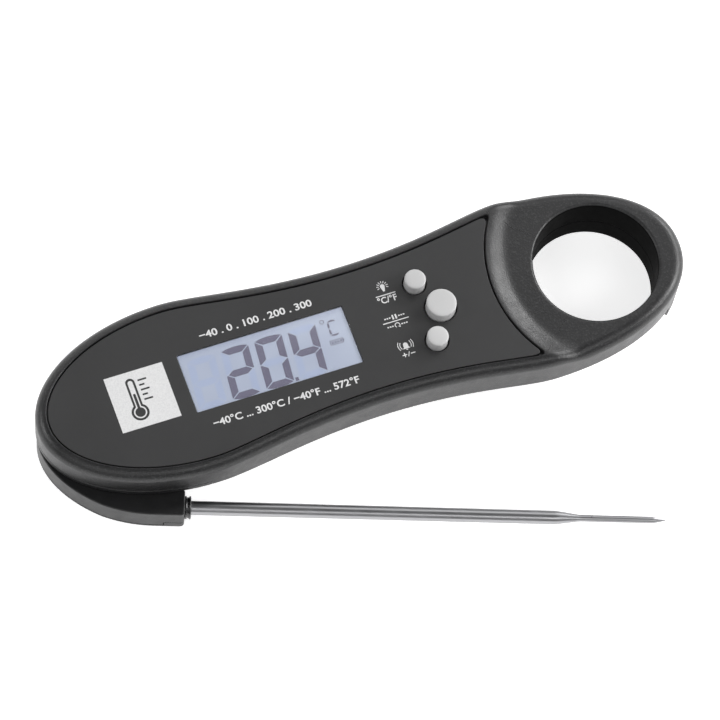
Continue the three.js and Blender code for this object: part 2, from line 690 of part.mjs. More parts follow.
function boardLead() {
  return tubeAlong([
    [PIVOT.x, PIVOT.y, 3.8], [PIVOT.x, PIVOT.y, 9], [PIVOT.x + 0.4, PIVOT.y, 12], [-70, 0, 12.6],
    [-58, 0, 12], [-54, 0, 9.9], [-50, 0, 9.7], [-47, 0, 10.2],
  ], 0.25, 6, 18);
}

function detentSpring() {
  const turns = 3.5;
  const radius = 0.85;
  const bottom = 4.2;
  const height = 1.4;
  const steps = 28;
  const points = [];
  for (let i = 0; i <= steps; i += 1) {
    const angle = (i / steps) * turns * Math.PI * 2;
    const x = DETENT.x + radius * Math.cos(angle);
    const y = DETENT.y + radius * Math.sin(angle);
    points.push([x, y, bottom + (i / steps) * height]);
  }
  return tubeAlong(points, 0.16, 4, 32);
}

function detentBall() {
  const geometry = new THREE.SphereGeometry(1.05, 10, 7);
  geometry.translate(DETENT.x, DETENT.y, 7.1);
  return toSolid(geometry);
}

// ---------------------------------------------------------------- assembly

function bodyGroup() {
  const group = new THREE.Group();
  group.add(namedMesh("front_shell", frontShell(), "shell"));
  group.add(namedMesh("rear_shell", rearShell(), "shell"));
  group.add(namedMesh("face_plate", facePlate(), "plate"));
  group.add(namedMesh("display_window", displayWindow(), "window"));
  group.add(namedMesh("lcd_panel", centredBlock(49, 20, 15.4, 16.9), "glass"));
  group.add(namedMesh("back_light", centredBlock(48.6, 17, 13.2, 15.1, 1.6), "lightGuide"));
  group.add(namedMesh("display_holder", displayHolder(), "whitePlastic"));
  group.add(namedMesh("contact_strip", centredBlock(46, 1.8, BOARD.top + GAP, 15.1, -9), "rubber"));
  group.add(namedMesh("circuit_board", circuitBoard(), "board"));
  group.add(namedMesh("controller_chip", controllerChip(), "chip"));
  group.add(namedMesh("buzzer", buzzer(), "chip"));
  group.add(namedMesh("reed_switch", reedSwitch(), "glass"));
  group.add(namedMesh("coin_battery", coinBattery(), "springSteel"));
  group.add(namedMesh("battery_holder", batteryHolder(), "whitePlastic"));
  group.add(namedMesh("positive_contact", positiveContact(), "springSteel"));
  group.add(namedMesh("negative_contact", negativeContact(), "springSteel"));
  group.add(namedMesh("battery_cover", batteryCover(), "shell"));
  group.add(namedMesh("cover_seal", coverSeal(), "rubber"));
  for (const button of BUTTONS) {
    group.add(namedMesh(`${button.name}_button`, buttonCap(button), "button"));
    group.add(namedMesh(`${button.name}_switch`, pushSwitch(button), "chip"));
  }
  CASE_SCREWS.forEach(([x, y], i) => {
    group.add(namedMesh(`case_screw_${i + 1}`, screw(x, y, CASE_SCREW), "steel"));
  });
  BOARD_SCREWS.forEach(([x, y], i) => {
    group.add(namedMesh(`board_screw_${i + 1}`, screw(x, y, BOARD_SCREW), "steel"));
  });
  group.add(namedMesh("pivot_bush", pivotBush(), "brass"));
  group.add(namedMesh("pivot_washer", pivotWasher(), "springSteel"));
  group.add(namedMesh("pivot_clip", pivotClip(), "springSteel"));
  group.add(namedMesh("board_lead", boardLead(), "lead"));
  return group;
}

function hubGroup() {
  const folded = new THREE.Group();
  folded.add(namedMesh("hub_body", hubBody(), "shell"));
  folded.add(namedMesh("hub_cover", hubCover(), "shell"));
  folded.add(namedMesh("hub_seal", hubSeal(), "rubber"));
  HUB_SCREWS.forEach(([x, y], i) => {
    folded.add(namedMesh(`hub_screw_${i + 1}`, screw(x, y, HUB_SCREW), "steel"));
  });
  folded.add(namedMesh("detent_ball", detentBall(), "steel"));
  folded.add(namedMesh("detent_spring", detentSpring(), "springSteel"));
  folded.add(namedMesh("wake_magnet", disc(MAGNET.x, MAGNET.y, 1.6, 3.9, 5.9, 16), "steel"));
  folded.add(namedMesh("probe_collar", probeCollar(), "collar"));
  folded.add(namedMesh("probe_tube", probeTube(), "steel"));
  folded.add(namedMesh("temperature_sensor", temperatureSensor(), "chip"));
  folded.add(namedMesh("probe_lead", probeLead(), "lead"));
  folded.position.set(-PIVOT.x, -PIVOT.y, 0);
  const turning = new THREE.Group();
  turning.position.set(PIVOT.x, PIVOT.y, 0);
  turning.rotation.z = -OPEN_ANGLE;
  turning.add(folded);
  return turning;
}

const thermometer = new THREE.Group();
thermometer.add(bodyGroup(), hubGroup());

export default thermometer;
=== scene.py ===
import json
import math

import bmesh
import bpy
from mathutils import Matrix, Vector


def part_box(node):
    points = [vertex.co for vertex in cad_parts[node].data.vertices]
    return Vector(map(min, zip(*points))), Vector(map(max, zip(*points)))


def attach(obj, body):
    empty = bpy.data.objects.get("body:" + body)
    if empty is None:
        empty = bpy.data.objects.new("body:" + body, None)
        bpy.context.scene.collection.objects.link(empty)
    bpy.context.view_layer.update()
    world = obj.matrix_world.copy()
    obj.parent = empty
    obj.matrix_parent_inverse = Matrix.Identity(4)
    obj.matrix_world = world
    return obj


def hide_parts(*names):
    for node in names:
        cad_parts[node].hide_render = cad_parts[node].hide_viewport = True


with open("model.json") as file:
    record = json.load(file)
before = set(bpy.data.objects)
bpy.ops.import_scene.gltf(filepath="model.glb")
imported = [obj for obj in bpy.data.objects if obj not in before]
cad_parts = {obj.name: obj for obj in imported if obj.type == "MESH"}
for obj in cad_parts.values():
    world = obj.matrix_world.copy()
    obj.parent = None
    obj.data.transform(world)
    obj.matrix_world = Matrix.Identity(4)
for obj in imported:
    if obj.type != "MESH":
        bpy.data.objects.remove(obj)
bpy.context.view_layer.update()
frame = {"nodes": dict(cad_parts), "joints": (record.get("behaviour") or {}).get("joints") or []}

# Lengths are in millimetres, in the part's frame, until a piece is finished: finish_piece() scales
# its mesh to metres.
MM = 0.001
JOINTS = {joint["name"]: joint for joint in frame["joints"]}


def node_box(node):
    low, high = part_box(node)
    return low / MM, high / MM


def node_centre(node):
    low, high = node_box(node)
    return (low + high) / 2


def joint_axis(name):
    return Vector(JOINTS[name]["pos_m"]).xy / MM


# ------------------------------------------------------------------ sizes

SHELL_LOW, SHELL_HIGH = node_box("front_shell")
HALF_WIDTH = SHELL_HIGH.y
HUB_END = {"x": SHELL_LOW.x + 39.7, "length": 39.7, "power": 2.0}
RING_END = {"x": SHELL_HIGH.x - 42.5, "length": 42.5, "power": 2.15}
WAIST_HALF_WIDTH = 19.4
WAIST_HANDLES = {"hub_side": 9, "from_hub": 23, "from_ring": 23, "ring_side": 8}
OUTSIDE = {"x": 100, "y": 40, "bottom": -1, "top": 30}

RIM_TOP = SHELL_HIGH.z
RIM_RADIUS = 3.0
BACK_RADIUS = 2.5
WALL = 2.2
SEAM = 0.12
EDGE = 0.12
PARTING = SHELL_LOW.z - 0.15
LIP_TOP = 8.9
LIP_WALL = WALL / 2 + 0.1
HUB_PARTING = 10.15
HUB_PARTING_X = -48.5

HOLE = {"x": 63.3, "radius": 16.2, "lip": 0.8}
STEP = {"x": 70.4, "outer": 35.6, "inner": 29.1, "drop": 2.15}
HOLE_CENTRE = Vector((HOLE["x"], 0))
STEP_CENTRE = Vector((STEP["x"], 0))

PLATE_LOW, PLATE_HIGH = node_box("face_plate")
PLATE_TOP = PLATE_HIGH.z
RECESS = {"floor": 17.0, "curve_from": 17.9, "curve_width": 0.45}
DECK_BOTTOM = 15.3
DECK_OPENING = (25.35, 10.8)
CAVITY_END_X = 37.1
REAR_FLOOR = 1.8

PIVOT = joint_axis("probe_turn")
PIVOT_BORE = 3.3
OPEN_ANGLE = math.radians(-JOINTS["probe_turn"]["range_deg"][0])
HUB_TOP = 8.0
HUB_CEILING = 8.3
POCKET = {"clear": 0.4, "past_arm": 2.6, "web_y": -11}
HUB_RADIUS = 16.6
HUB_WALL = 1.8
ARM = {"end_x": -48.8, "outer_y": -21.6, "inner_y": -14.6}
WEB_END_X = PIVOT.x + 12
HUB_SEAM = 0.9
HUB_INSET = 0.15
HUB_SCREWS = [(-74, -14), (-79.4, 9.6)]
HUB_SEAL = {"inner": 6.2, "outer": 7.8, "bottom": 7}
DETENT = Vector((PIVOT.x + 10.6, 0))
TOE = {"length": 5.2, "top": 2.6}
PROBE = {"y": -18.1, "z": 4.3, "radius": 1.8, "tip_radius": 0.9, "root_x": -60, "face_x": -47.2}
PROBE_LENGTHS = {"tube": 92.0, "taper": 5.7, "tip": 19.0, "point": 3.1}
PROBE_WALL = 0.35
CHANNEL = {"wall_y": -15.4, "tip_wall_y": -16.95, "narrow_x": 51, "end_x": 76.5, "ramp_end_x": -30}
RING_RECESS = {"start_x": 62, "end_x": 79.4, "depth": 2.4}

WINDOW_LOW, WINDOW_HIGH = node_box("display_window")
WINDOW = (WINDOW_LOW + WINDOW_HIGH) / 2
BUTTONS = {"light": 2.75, "hold": 3.85, "alarm": 2.75}
BUTTON_TOP = node_box("light_button")[1].z

CASE_POST = {"radius": 2.6, "bore": 1.3}
SMALL_POST = {"radius": 1.8, "bore": 0.9}
CASE_SCREWS = [f"case_screw_{i}" for i in range(1, 5)]
BOARD_SCREWS = [f"board_screw_{i}" for i in range(1, 3)]

COVER_LOW = node_box("battery_cover")[0]
COVER = joint_axis("cover_turn")
COVER_RADIUS = 12.0
COVER_RING = {"outer": 10.6, "inner": 9.6, "floor": 1.5, "top": 3}
LUG = {"inner": 10.3, "outer": 13.4, "half": 2, "bottom": 2.4}
LUG_TURNS = [0, 120, 240]
UNLOCK_TURN = 60

# ------------------------------------------------------------------ camera

VIEW = {"azimuth": -118.69, "elevation": 65.84, "roll": 9.5, "distance": 1016.7, "lens": 200}
VIEW_TARGET = Vector((-2.0, -3.8, 9.0))


def outwards(azimuth, elevation):
    """The direction from the part at these angles in degrees."""
    around, up = math.radians(azimuth), math.radians(elevation)
    return Vector((math.cos(around) * math.cos(up), math.sin(around) * math.cos(up), math.sin(up)))


def link_object(name, data):
    obj = bpy.data.objects.new(name, data)
    bpy.context.scene.collection.objects.link(obj)
    return obj


def make_camera():
    back = outwards(VIEW["azimuth"], VIEW["elevation"])
    data = bpy.data.cameras.new("photo_camera")
    data.lens = VIEW["lens"]
    data.sensor_width = 36
    data.clip_start, data.clip_end = 0.01, 50
    camera = link_object("photo_camera", data)
    level = (-back).to_track_quat("-Z", "Y").to_matrix().to_4x4()
    turned_view = level @ Matrix.Rotation(math.radians(VIEW["roll"]), 4, "Z")
    place = (VIEW_TARGET + back * VIEW["distance"]) * MM
    camera.matrix_world = Matrix.Translation(place) @ turned_view
    bpy.context.scene.camera = camera


make_camera()

# ------------------------------------------------------------------ mesh tools


def clean_mesh(mesh, distance):
    """Merges points closer than this and turns the faces outwards."""
    work = bmesh.new()
    work.from_mesh(mesh)
    bmesh.ops.remove_doubles(work, verts=work.verts, dist=distance)
    bmesh.ops.recalc_face_normals(work, faces=work.faces)
    work.to_mesh(mesh)
    work.free()
    return mesh


def mesh_object(points, faces):
    mesh = bpy.data.meshes.new("piece")
    mesh.from_pydata([tuple(p) for p in points], [], faces)
    return link_object("piece", clean_mesh(mesh, 1e-5))


def evaluated_mesh(obj):
    graph = bpy.context.evaluated_depsgraph_get()
    return bpy.data.meshes.new_from_object(obj.evaluated_get(graph), depsgraph=graph)


def take_mesh(obj, mesh):
    old = obj.data
    obj.modifiers.clear()
    obj.data = mesh
    bpy.data.meshes.remove(old)


def combine(target, tool, operation):
    modifier = target.modifiers.new("combine", "BOOLEAN")
    modifier.object = tool
    modifier.operation = operation
    modifier.solver = "MANIFOLD"
    take_mesh(target, evaluated_mesh(target))
    bpy.data.meshes.remove(tool.data)
    return target


def cut(target, *tools):
    for tool in tools:
        combine(target, tool, "DIFFERENCE")
    return target


def join(target, *tools):
    for tool in tools:
        combine(target, tool, "UNION")
    return target


def keep(target, tool):
    return combine(target, tool, "INTERSECT")


def band_faces(low, high, count):
    """Faces between two closed rings of points, given the number of each ring's first point."""
    faces = []
    for i in range(count):
        j = (i + 1) % count
        faces.append((low + i, low + j, high + j, high + i))
    return faces


def end_faces(total, count):
    """A face over the first ring of points and one over the last."""
    return [tuple(reversed(range(count))), tuple(range(total - count, total))]


def stacked(rings):
    """A skin through closed rings of equally many points, with flat ends."""
    count = len(rings[0])
    points = [p for ring in rings for p in ring]
    faces = []
    for low in range(0, len(points) - count, count):
        faces += band_faces(low, low + count, count)
    return mesh_object(points, faces + end_faces(len(points), count))


def offset_loop(loop, inset):
    """A closed anticlockwise plane loop moved inwards."""
    loop = [Vector(p) for p in loop]
    count = len(loop)
    moved = []
    for i, point in enumerate(loop):
        before = (point - loop[i - 1]).normalized()
        after = (loop[(i + 1) % count] - point).normalized()
        inward = Vector((-(before.y + after.y), before.x + after.x))
        inward.normalize()
        lean = max(inward.dot(Vector((-after.y, after.x))), 0.35)
        moved.append(point + inward * inset / lean)
    return moved


def slab(loop, levels):
    """A solid with the same plan at each (height, inset) level."""
    return stacked([[Vector((*p, z)) for p in offset_loop(loop, inset)] for z, inset in levels])


def prism(loop, bottom, top):
    return slab(loop, [(bottom, 0), (top, 0)])


def quarter_turn(steps):
    """The (sine, cosine) of equally spaced angles from 0 to 90 degrees."""
    angles = [i / steps * math.pi / 2 for i in range(steps + 1)]
    return [(math.sin(angle), math.cos(angle)) for angle in angles]


def rounded_levels(bottom, top, low_radius, high_radius, steps=4):
    """Levels for slab() with the bottom and top edges rounded."""
    turns = quarter_turn(steps)
    low = [(bottom + low_radius * (1 - cosine), low_radius * (1 - sine)) for sine, cosine in turns]
    high = [(top - high_radius * (1 - sine), high_radius * (1 - cosine)) for sine, cosine in turns]
    return low + high


def rectangle(x0, y0, x1, y1):
    return [Vector((x0, y0)), Vector((x1, y0)), Vector((x1, y1)), Vector((x0, y1))]


def node_plan(node):
    low, high = node_box(node)
    return rectangle(low.x, low.y, high.x, high.y)


def block(x0, x1, y0, y1, z0, z1):
    return prism(rectangle(x0, y0, x1, y1), z0, z1)


def across(x0, x1, top=OUTSIDE["top"]):
    """All of the part between two planes across it, below a height."""
    return block(x0, x1, -OUTSIDE["y"], OUTSIDE["y"], OUTSIDE["bottom"], top)


def near_side(x0, x1, y, top):
    """All of the part between two planes across it, on the near side of a wall."""
    return block(x0, x1, -OUTSIDE["y"], y, OUTSIDE["bottom"], top)


def turned(profile, centre=(0, 0), segments=64):
    """A solid of revolution about an upright axis, from (radius, height) pairs on its outside.
    It closes on the axis, or on itself if the profile ends where it starts."""
    is_ring = profile[0] == profile[-1]
    rows = profile[:-1] if is_ring else profile
    points, faces = [], []
    for radius, height in rows:
        for i in range(segments):
            angle = i / segments * 2 * math.pi
            x = centre[0] + radius * math.cos(angle)
            y = centre[1] + radius * math.sin(angle)
            points.append((x, y, height))
    for row in range(len(rows) if is_ring else len(rows) - 1):
        faces += band_faces(row * segments, (row + 1) % len(rows) * segments, segments)
    if not is_ring:
        faces += end_faces(len(points), segments)
    return mesh_object(points, faces)


def disc(centre, radius, bottom, top, segments=64):
    return turned([(radius, bottom), (radius, top)], centre, segments)


def arc_points(x, y, radius, start, end, steps=5):
    """(x, y) pairs round part of a circle, with angles in degrees."""
    angles = [math.radians(start + (end - start) * i / steps) for i in range(steps + 1)]
    return [(x + radius * math.cos(angle), y + radius * math.sin(angle)) for angle in angles]


def between(first, last, steps):
    """Pairs on the straight line from one pair to another, without the first."""
    pairs = []
    for i in range(1, steps + 1):
        share = i / steps
        pairs.append((first[0] + (last[0] - first[0]) * share, first[1] + (last[1] - first[1]) * share))
    return pairs


def along_probe(obj):
    """Lays a solid made about the upright axis along the probe: height becomes distance along X."""
    lay = Matrix.Rotation(math.pi / 2, 4, "Y")
    obj.data.transform(Matrix.Translation((0, PROBE["y"], PROBE["z"])) @ lay)
    return obj


def turn_open(obj):
    """Turns a piece made in the folded position about the pivot to where the frame holds it."""
    pivot = Matrix.Translation((*PIVOT, 0))
    obj.data.transform(pivot @ Matrix.Rotation(-OPEN_ANGLE, 4, "Z") @ pivot.inverted())
    return obj


def about(obj, centre, degrees=0):
    """Turns an object made about the origin and moves it to a centre."""
    place = Matrix.Translation((*centre, 0)) @ Matrix.Rotation(math.radians(degrees), 4, "Z")
    obj.data.transform(place)
    return obj


def round_corners(loop, corners, reach, steps=6):
    """A closed loop with the corner nearest each given place replaced by a curve."""
    points = list(loop)
    for place in corners:
        count = len(points)
        at = min(range(count), key=lambda i: (points[i] - place).length)
        corner = points[at]
        back = forward = 0
        while (points[(at - back) % count] - corner).length < reach:
            back += 1
        while (points[(at + forward) % count] - corner).length < reach:
            forward += 1
        start = corner + (points[(at - back) % count] - corner).normalized() * reach
        end = corner + (points[(at + forward) % count] - corner).normalized() * reach
        curve = []
        for i in range(steps + 1):
            t = i / steps
            curve.append(start * (1 - t) ** 2 + corner * 2 * t * (1 - t) + end * t * t)
        rest = [points[(at + forward + i) % count] for i in range(count - back - forward + 1)]
        points = curve + rest
    return points


def finish_piece(obj, name, body, material, replaced=(), sharp=32, flat=False):
    """Scales a piece to metres, smooths it, gives it its material and fastens it to its body."""
    obj.name = obj.data.name = name
    obj.data.transform(Matrix.Scale(MM, 4))
    obj.data.polygons.foreach_set("use_smooth", [True] * len(obj.data.polygons))
    obj.data.set_sharp_from_angle(angle=math.radians(sharp))
    if flat:
        weighted = obj.modifiers.new("flat_faces", "WEIGHTED_NORMAL")
        weighted.keep_sharp = True
        weighted.weight = 100
        take_mesh(obj, evaluated_mesh(obj))
        obj.data.name = name
    obj.data.materials.clear()
    obj.data.materials.append(material)
    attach(obj, body)
    if replaced:
        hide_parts(*replaced)
    return obj


def shade_hole_wall(obj):
    """Gives the wall of the ring's hole a darker, nearly shineless material: painted shade, for the shadow
    under the part that the pale floor doesn't show there.
    """
    obj.data.materials.append(HOLE_PAINTED_SHADE)
    for face in obj.data.polygons:
        reach = (Vector(face.center).xy / MM - HOLE_CENTRE).length
        if reach < HOLE["radius"] + EDGE:
            face.material_index = 1


# ------------------------------------------------------------------ body outline

OVAL_STEPS = 44
WAIST_STEPS = 26
ARC_STEPS = 60
SURFACE_ROWS = 22
FLOOR_ROWS = 6
LIP_STEPS = 6


def oval_quarter(end, direction):
    """From the widest point to the tip, on |x|^n + |y|^n = 1."""
    points = []
    for sine, cosine in quarter_turn(OVAL_STEPS):
        along = sine ** (2 / end["power"])
        half_width = HALF_WIDTH * max(cosine, 0) ** (2 / end["power"])
        points.append(Vector((end["x"] + direction * end["length"] * along, half_width)))
    return points


def waist_curve(start, start_handle, end, end_handle):
    controls = [start, start + Vector((start_handle, 0)), end - Vector((end_handle, 0)), end]
    points = []
    for i in range(WAIST_STEPS + 1):
        t = i / WAIST_STEPS
        weights = [(1 - t) ** 3, 3 * t * (1 - t) ** 2, 3 * t * t * (1 - t), t ** 3]
        points.append(sum((c * w for c, w in zip(controls, weights)), Vector((0, 0))))
    return points


def far_side():
    waist = Vector((0, WAIST_HALF_WIDTH))
    widest_hub = Vector((HUB_END["x"], HALF_WIDTH))
    widest_ring = Vector((RING_END["x"], HALF_WIDTH))
    handles = WAIST_HANDLES
    hub_oval = list(reversed(oval_quarter(HUB_END, -1)))
    to_waist = waist_curve(widest_hub, handles["hub_side"], waist, handles["from_hub"])
    from_waist = waist_curve(waist, handles["from_ring"], widest_ring, handles["ring_side"])
    return hub_oval + to_waist[1:] + from_waist[1:] + oval_quarter(RING_END, 1)[1:]


def inset_side(side, inset):
    last = len(side) - 1
    moved = []
    for i, point in enumerate(side):
        along = (side[min(i + 1, last)] - side[max(i - 1, 0)]).normalized()
        if i in (0, last):
            along = Vector((0, 1 if i == 0 else -1))
        moved.append(point + Vector((along.y, -along.x)) * inset)
    return moved


def with_step_corner(side):
    """The far side with a point where the step's outer arc meets the rim, and that point's place."""
    inner = inset_side(side, RIM_RADIUS)
    for i in range(len(side) // 2, len(side)):
        before = (inner[i - 1] - STEP_CENTRE).length
        after = (inner[i] - STEP_CENTRE).length
        if inner[i].x < STEP["x"] and before > STEP["outer"] >= after:
            t = (before - STEP["outer"]) / (before - after)
            return side[:i] + [side[i - 1].lerp(side[i], t)] + side[i:], i
    raise ValueError("the step's arc doesn't meet the rim")


FAR_SIDE, CORNER = with_step_corner(far_side())
LAST = len(FAR_SIDE) - 1


def outline(inset=0.0):
    """The closed outline, anticlockwise from the ring's tip, moved inwards."""
    inner = inset_side(FAR_SIDE, inset)
    near = [Vector((p.x, -p.y)) for p in inner[1:LAST]]
    return list(reversed(inner)) + near


COUNT = len(outline())
FAR_CORNER = LAST - CORNER
NEAR_CORNER = COUNT - FAR_CORNER


def ring_drop(x, y):
    """How far the ring's surface lies below the rim: a smooth step towards the hole."""
    distance = math.hypot(x - STEP["x"], y)
    t = (STEP["outer"] - distance) / (STEP["outer"] - STEP["inner"])
    t = min(max(t, 0), 1)
    return STEP["drop"] * t * t * (3 - 2 * t)


def flat_drop(_x, _y):
    return 0


def outline_slab(inset, bottom, top):
    return prism(outline(inset), bottom, top)


def step_arc(radius, far, near):
    """Points round the step's arc, which passes on the hub's side, from one place to another."""
    start = math.degrees(math.atan2(far.y, far.x - STEP["x"])) % 360
    end = math.degrees(math.atan2(near.y, near.x - STEP["x"])) % 360
    return [Vector(p) for p in arc_points(STEP["x"], 0, radius, start, end, ARC_STEPS)]


def plate_outline(inset, arc_radius, reach):
    """The face plate's plan: the body outline cut off by the step's arc, with rounded corners."""
    edge = [p for p in outline(inset) if (p - STEP_CENTRE).length > arc_radius and p.x < STEP["x"]]
    arc = step_arc(arc_radius, edge[-1], edge[0])
    return round_corners(edge + arc[:-1], [arc[0], arc[-1]], reach)


# ------------------------------------------------------------------ shells


def hole_path(outer_top, outer_bottom, bottom, top, drop, lip_bottom, lip_top):
    """Points from the skin's top edge to the hole, down its wall and back to the bottom edge."""
    direction = (outer_top - HOLE_CENTRE).normalized()
    edge_top = HOLE_CENTRE + direction * (HOLE["radius"] + lip_top)
    edge_bottom = HOLE_CENTRE + direction * (HOLE["radius"] + lip_bottom)
    path = []
    for row in range(1, SURFACE_ROWS + 1):
        place = outer_top.lerp(edge_top, row / SURFACE_ROWS)
        path.append(Vector((*place, top - drop(*place))))
    wall_top = top - drop(HOLE["x"], HOLE["radius"])
    for sine, cosine in quarter_turn(LIP_STEPS)[1:]:
        place = HOLE_CENTRE + direction * (HOLE["radius"] + lip_top * (1 - sine))
        path.append(Vector((*place, wall_top - lip_top * (1 - cosine))))
    for sine, cosine in quarter_turn(LIP_STEPS):
        place = HOLE_CENTRE + direction * (HOLE["radius"] + lip_bottom * (1 - cosine))
        path.append(Vector((*place, bottom + lip_bottom * (1 - sine))))
    for row in range(1, FLOOR_ROWS):
        path.append(Vector((*edge_bottom.lerp(outer_bottom, row / FLOOR_ROWS), bottom)))
    return path


def holed_blank(levels, drop, lip_bottom, lip_top):
    """The whole body's blank with the ring's hole, as a skin through (height, inset, follow)
    levels. Round the hole, columns of faces run from the skin's edge through the hole."""
    points, faces = [], []
    for z, inset, follow in levels:
        points += [Vector((p.x, p.y, z - follow * drop(p.x, p.y))) for p in outline(inset)]
    top_start = len(points) - COUNT
    for low in range(0, top_start, COUNT):
        faces += band_faces(low, low + COUNT, COUNT)
    bottom, top = levels[0][0], levels[-1][0]
    rim = outline(RIM_RADIUS)
    arc = step_arc(STEP["outer"], rim[FAR_CORNER], rim[NEAR_CORNER])[1:-1]
    bottom_arc = list(range(len(points), len(points) + len(arc)))
    top_arc = [number + len(arc) for number in bottom_arc]
    points += [Vector((*p, z)) for z in (bottom, top) for p in arc]
    around = list(range(NEAR_CORNER, COUNT)) + list(range(FAR_CORNER + 1))
    columns = []
    for low, high in zip(around + bottom_arc, [top_start + i for i in around] + top_arc):
        path = hole_path(points[high].xy, points[low].xy, bottom, top, drop, lip_bottom, lip_top)
        columns.append([high] + list(range(len(points), len(points) + len(path))) + [low])
        points += path
    for i, column in enumerate(columns):
        beside = columns[(i + 1) % len(columns)]
        for row in range(len(column) - 1):
            faces.append((column[row], column[row + 1], beside[row + 1], beside[row]))
    hub_side = list(range(FAR_CORNER, NEAR_CORNER + 1))
    faces.append(tuple([top_start + i for i in hub_side] + list(reversed(top_arc))))
    faces.append(tuple(hub_side + list(reversed(bottom_arc))))
    return mesh_object(points, faces)


def front_levels():
    levels = [(PARTING + SEAM, EDGE, 0), (PARTING + SEAM + EDGE, 0, 0)]
    for sine, cosine in quarter_turn(10):
        levels.append((RIM_TOP - RIM_RADIUS * (1 - sine), RIM_RADIUS * (1 - cosine), 1))
    return levels


def rear_levels():
    levels = []
    for sine, cosine in quarter_turn(8):
        levels.append((BACK_RADIUS * (1 - cosine), BACK_RADIUS * (1 - sine), 0))
    return levels + [(PARTING - SEAM - EDGE, 0, 0), (PARTING - SEAM, EDGE, 0)]


def recess_levels():
    """The plate's recess, with the rim rounded over into it."""
    levels = [(RECESS["floor"], 0)]
    for sine, cosine in quarter_turn(6):
        height = RECESS["curve_from"] + 0.05 + (RIM_TOP - RECESS["curve_from"]) * sine
        levels.append((height, -RECESS["curve_width"] * (1 - cosine)))
    return levels


def window_opening(margin, bottom, flare_from, top):
    """The window's opening, which flares at its upper edge."""
    radius = 0.3
    half = (WINDOW_HIGH - WINDOW_LOW) / 2
    plan = []
    for i, (side_x, side_y) in enumerate([(-1, -1), (1, -1), (1, 1), (-1, 1)]):
        x = WINDOW.x + side_x * (half.x + margin - radius)
        y = WINDOW.y + side_y * (half.y + margin - radius)
        plan += arc_points(x, y, radius, 90 * i - 180, 90 * i - 90)
    return slab(plan, [(bottom, 0), (flare_from, 0), (top, flare_from - top)])


def add_post(target, place, sizes, post_span, bore_span):
    """Joins on a screw's post and bores it, each between two heights."""
    join(target, disc(place, sizes["radius"], *post_span, 32))
    cut(target, disc(place, sizes["bore"], *bore_span, 24))


def hub_pocket():
    clear, arm_end = POCKET["clear"], ARM["end_x"] + POCKET["past_arm"]
    return join(
        disc(PIVOT, HUB_RADIUS + clear, OUTSIDE["bottom"], HUB_CEILING, 128),
        across(-OUTSIDE["x"], PIVOT.x, HUB_CEILING),
        near_side(PIVOT.x, arm_end, ARM["inner_y"] + clear, HUB_CEILING),
        near_side(PIVOT.x, WEB_END_X + clear, POCKET["web_y"], HUB_CEILING),
    )


def probe_channel(top):
    """The channel's ceiling slopes down from the hub's pocket. Round the ring it follows the outline."""
    start, ramp_end, wall = ARM["end_x"] + 2, CHANNEL["ramp_end_x"], CHANNEL["wall_y"]
    side = [(start, top - 1), (ramp_end, top - 1), (ramp_end, top), (start, HUB_CEILING)]
    ramp = stacked([[Vector((x, y, z)) for x, z in side] for y in (-OUTSIDE["y"], wall)])
    band = cut(outline_slab(-1, -1, top), outline_slab(RING_RECESS["depth"], -2, top + 1))
    keep(band, near_side(RING_RECESS["start_x"], RING_RECESS["end_x"], 0, top))
    channel = near_side(start, CHANNEL["narrow_x"], wall, top)
    return join(channel, near_side(start, CHANNEL["end_x"], CHANNEL["tip_wall_y"], top), ramp, band)


def front_shell():
    shell = holed_blank(front_levels(), ring_drop, 0.1, HOLE["lip"])
    recess = slab(plate_outline(RIM_RADIUS - 0.06, STEP["outer"] - 0.2, 1.5), recess_levels())
    cut(shell, recess)
    for inset, top in [(WALL, DECK_BOTTOM), (WALL / 2, LIP_TOP + 0.3)]:
        cut(shell, cut(outline_slab(inset, PARTING - 1, top), across(CAVITY_END_X, OUTSIDE["x"])))
    half_x, half_y = DECK_OPENING
    deck = block(WINDOW.x - half_x, WINDOW.x + half_x, -half_y, half_y, DECK_BOTTOM - 1, OUTSIDE["top"])
    over_arm = near_side(HUB_PARTING_X - 1, ARM["end_x"] + 2.1, CHANNEL["wall_y"], HUB_CEILING)
    hub_end = across(-OUTSIDE["x"], HUB_PARTING_X, HUB_PARTING + SEAM)
    cut(shell, hub_end, deck, probe_channel(PARTING + SEAM), over_arm)
    for node in CASE_SCREWS:
        add_post(shell, node_centre(node), CASE_POST, (8.5, DECK_BOTTOM + 0.5), (8, 14))
    for node in BOARD_SCREWS:
        add_post(shell, node_centre(node), SMALL_POST, (12.1, DECK_BOTTOM + 0.5), (10.8, 14.5))
    for name, radius in BUTTONS.items():
        cut(shell, disc(node_centre(f"{name}_button"), radius + 0.3, DECK_BOTTOM - 1, OUTSIDE["top"]))
    return shell


def rear_cavity():
    near_wall = CHANNEL["wall_y"] + WALL + 0.9
    return cut(
        outline_slab(WALL, REAR_FLOOR, HUB_PARTING + 1),
        disc(PIVOT, HUB_RADIUS + 2.4, 0, 20, 128),
        across(-OUTSIDE["x"], PIVOT.x + 5),
        near_side(-OUTSIDE["x"], OUTSIDE["x"], near_wall, OUTSIDE["top"]),
        across(CAVITY_END_X - 2, OUTSIDE["x"]),
    )


def cover_opening():
    mouth, radius = COVER_RADIUS + 0.35, COVER_RADIUS + 0.15
    opening = turned([(mouth, -1), (mouth, 0), (radius, 0.2), (radius, 2.3)], COVER, 128)
    for degrees in LUG_TURNS:
        notch = block(COVER_RADIUS - 1, COVER_RADIUS + 1.9, -2.6, 2.6, -1, REAR_FLOOR + 0.5)
        join(opening, about(notch, COVER, degrees + UNLOCK_TURN))
    return opening


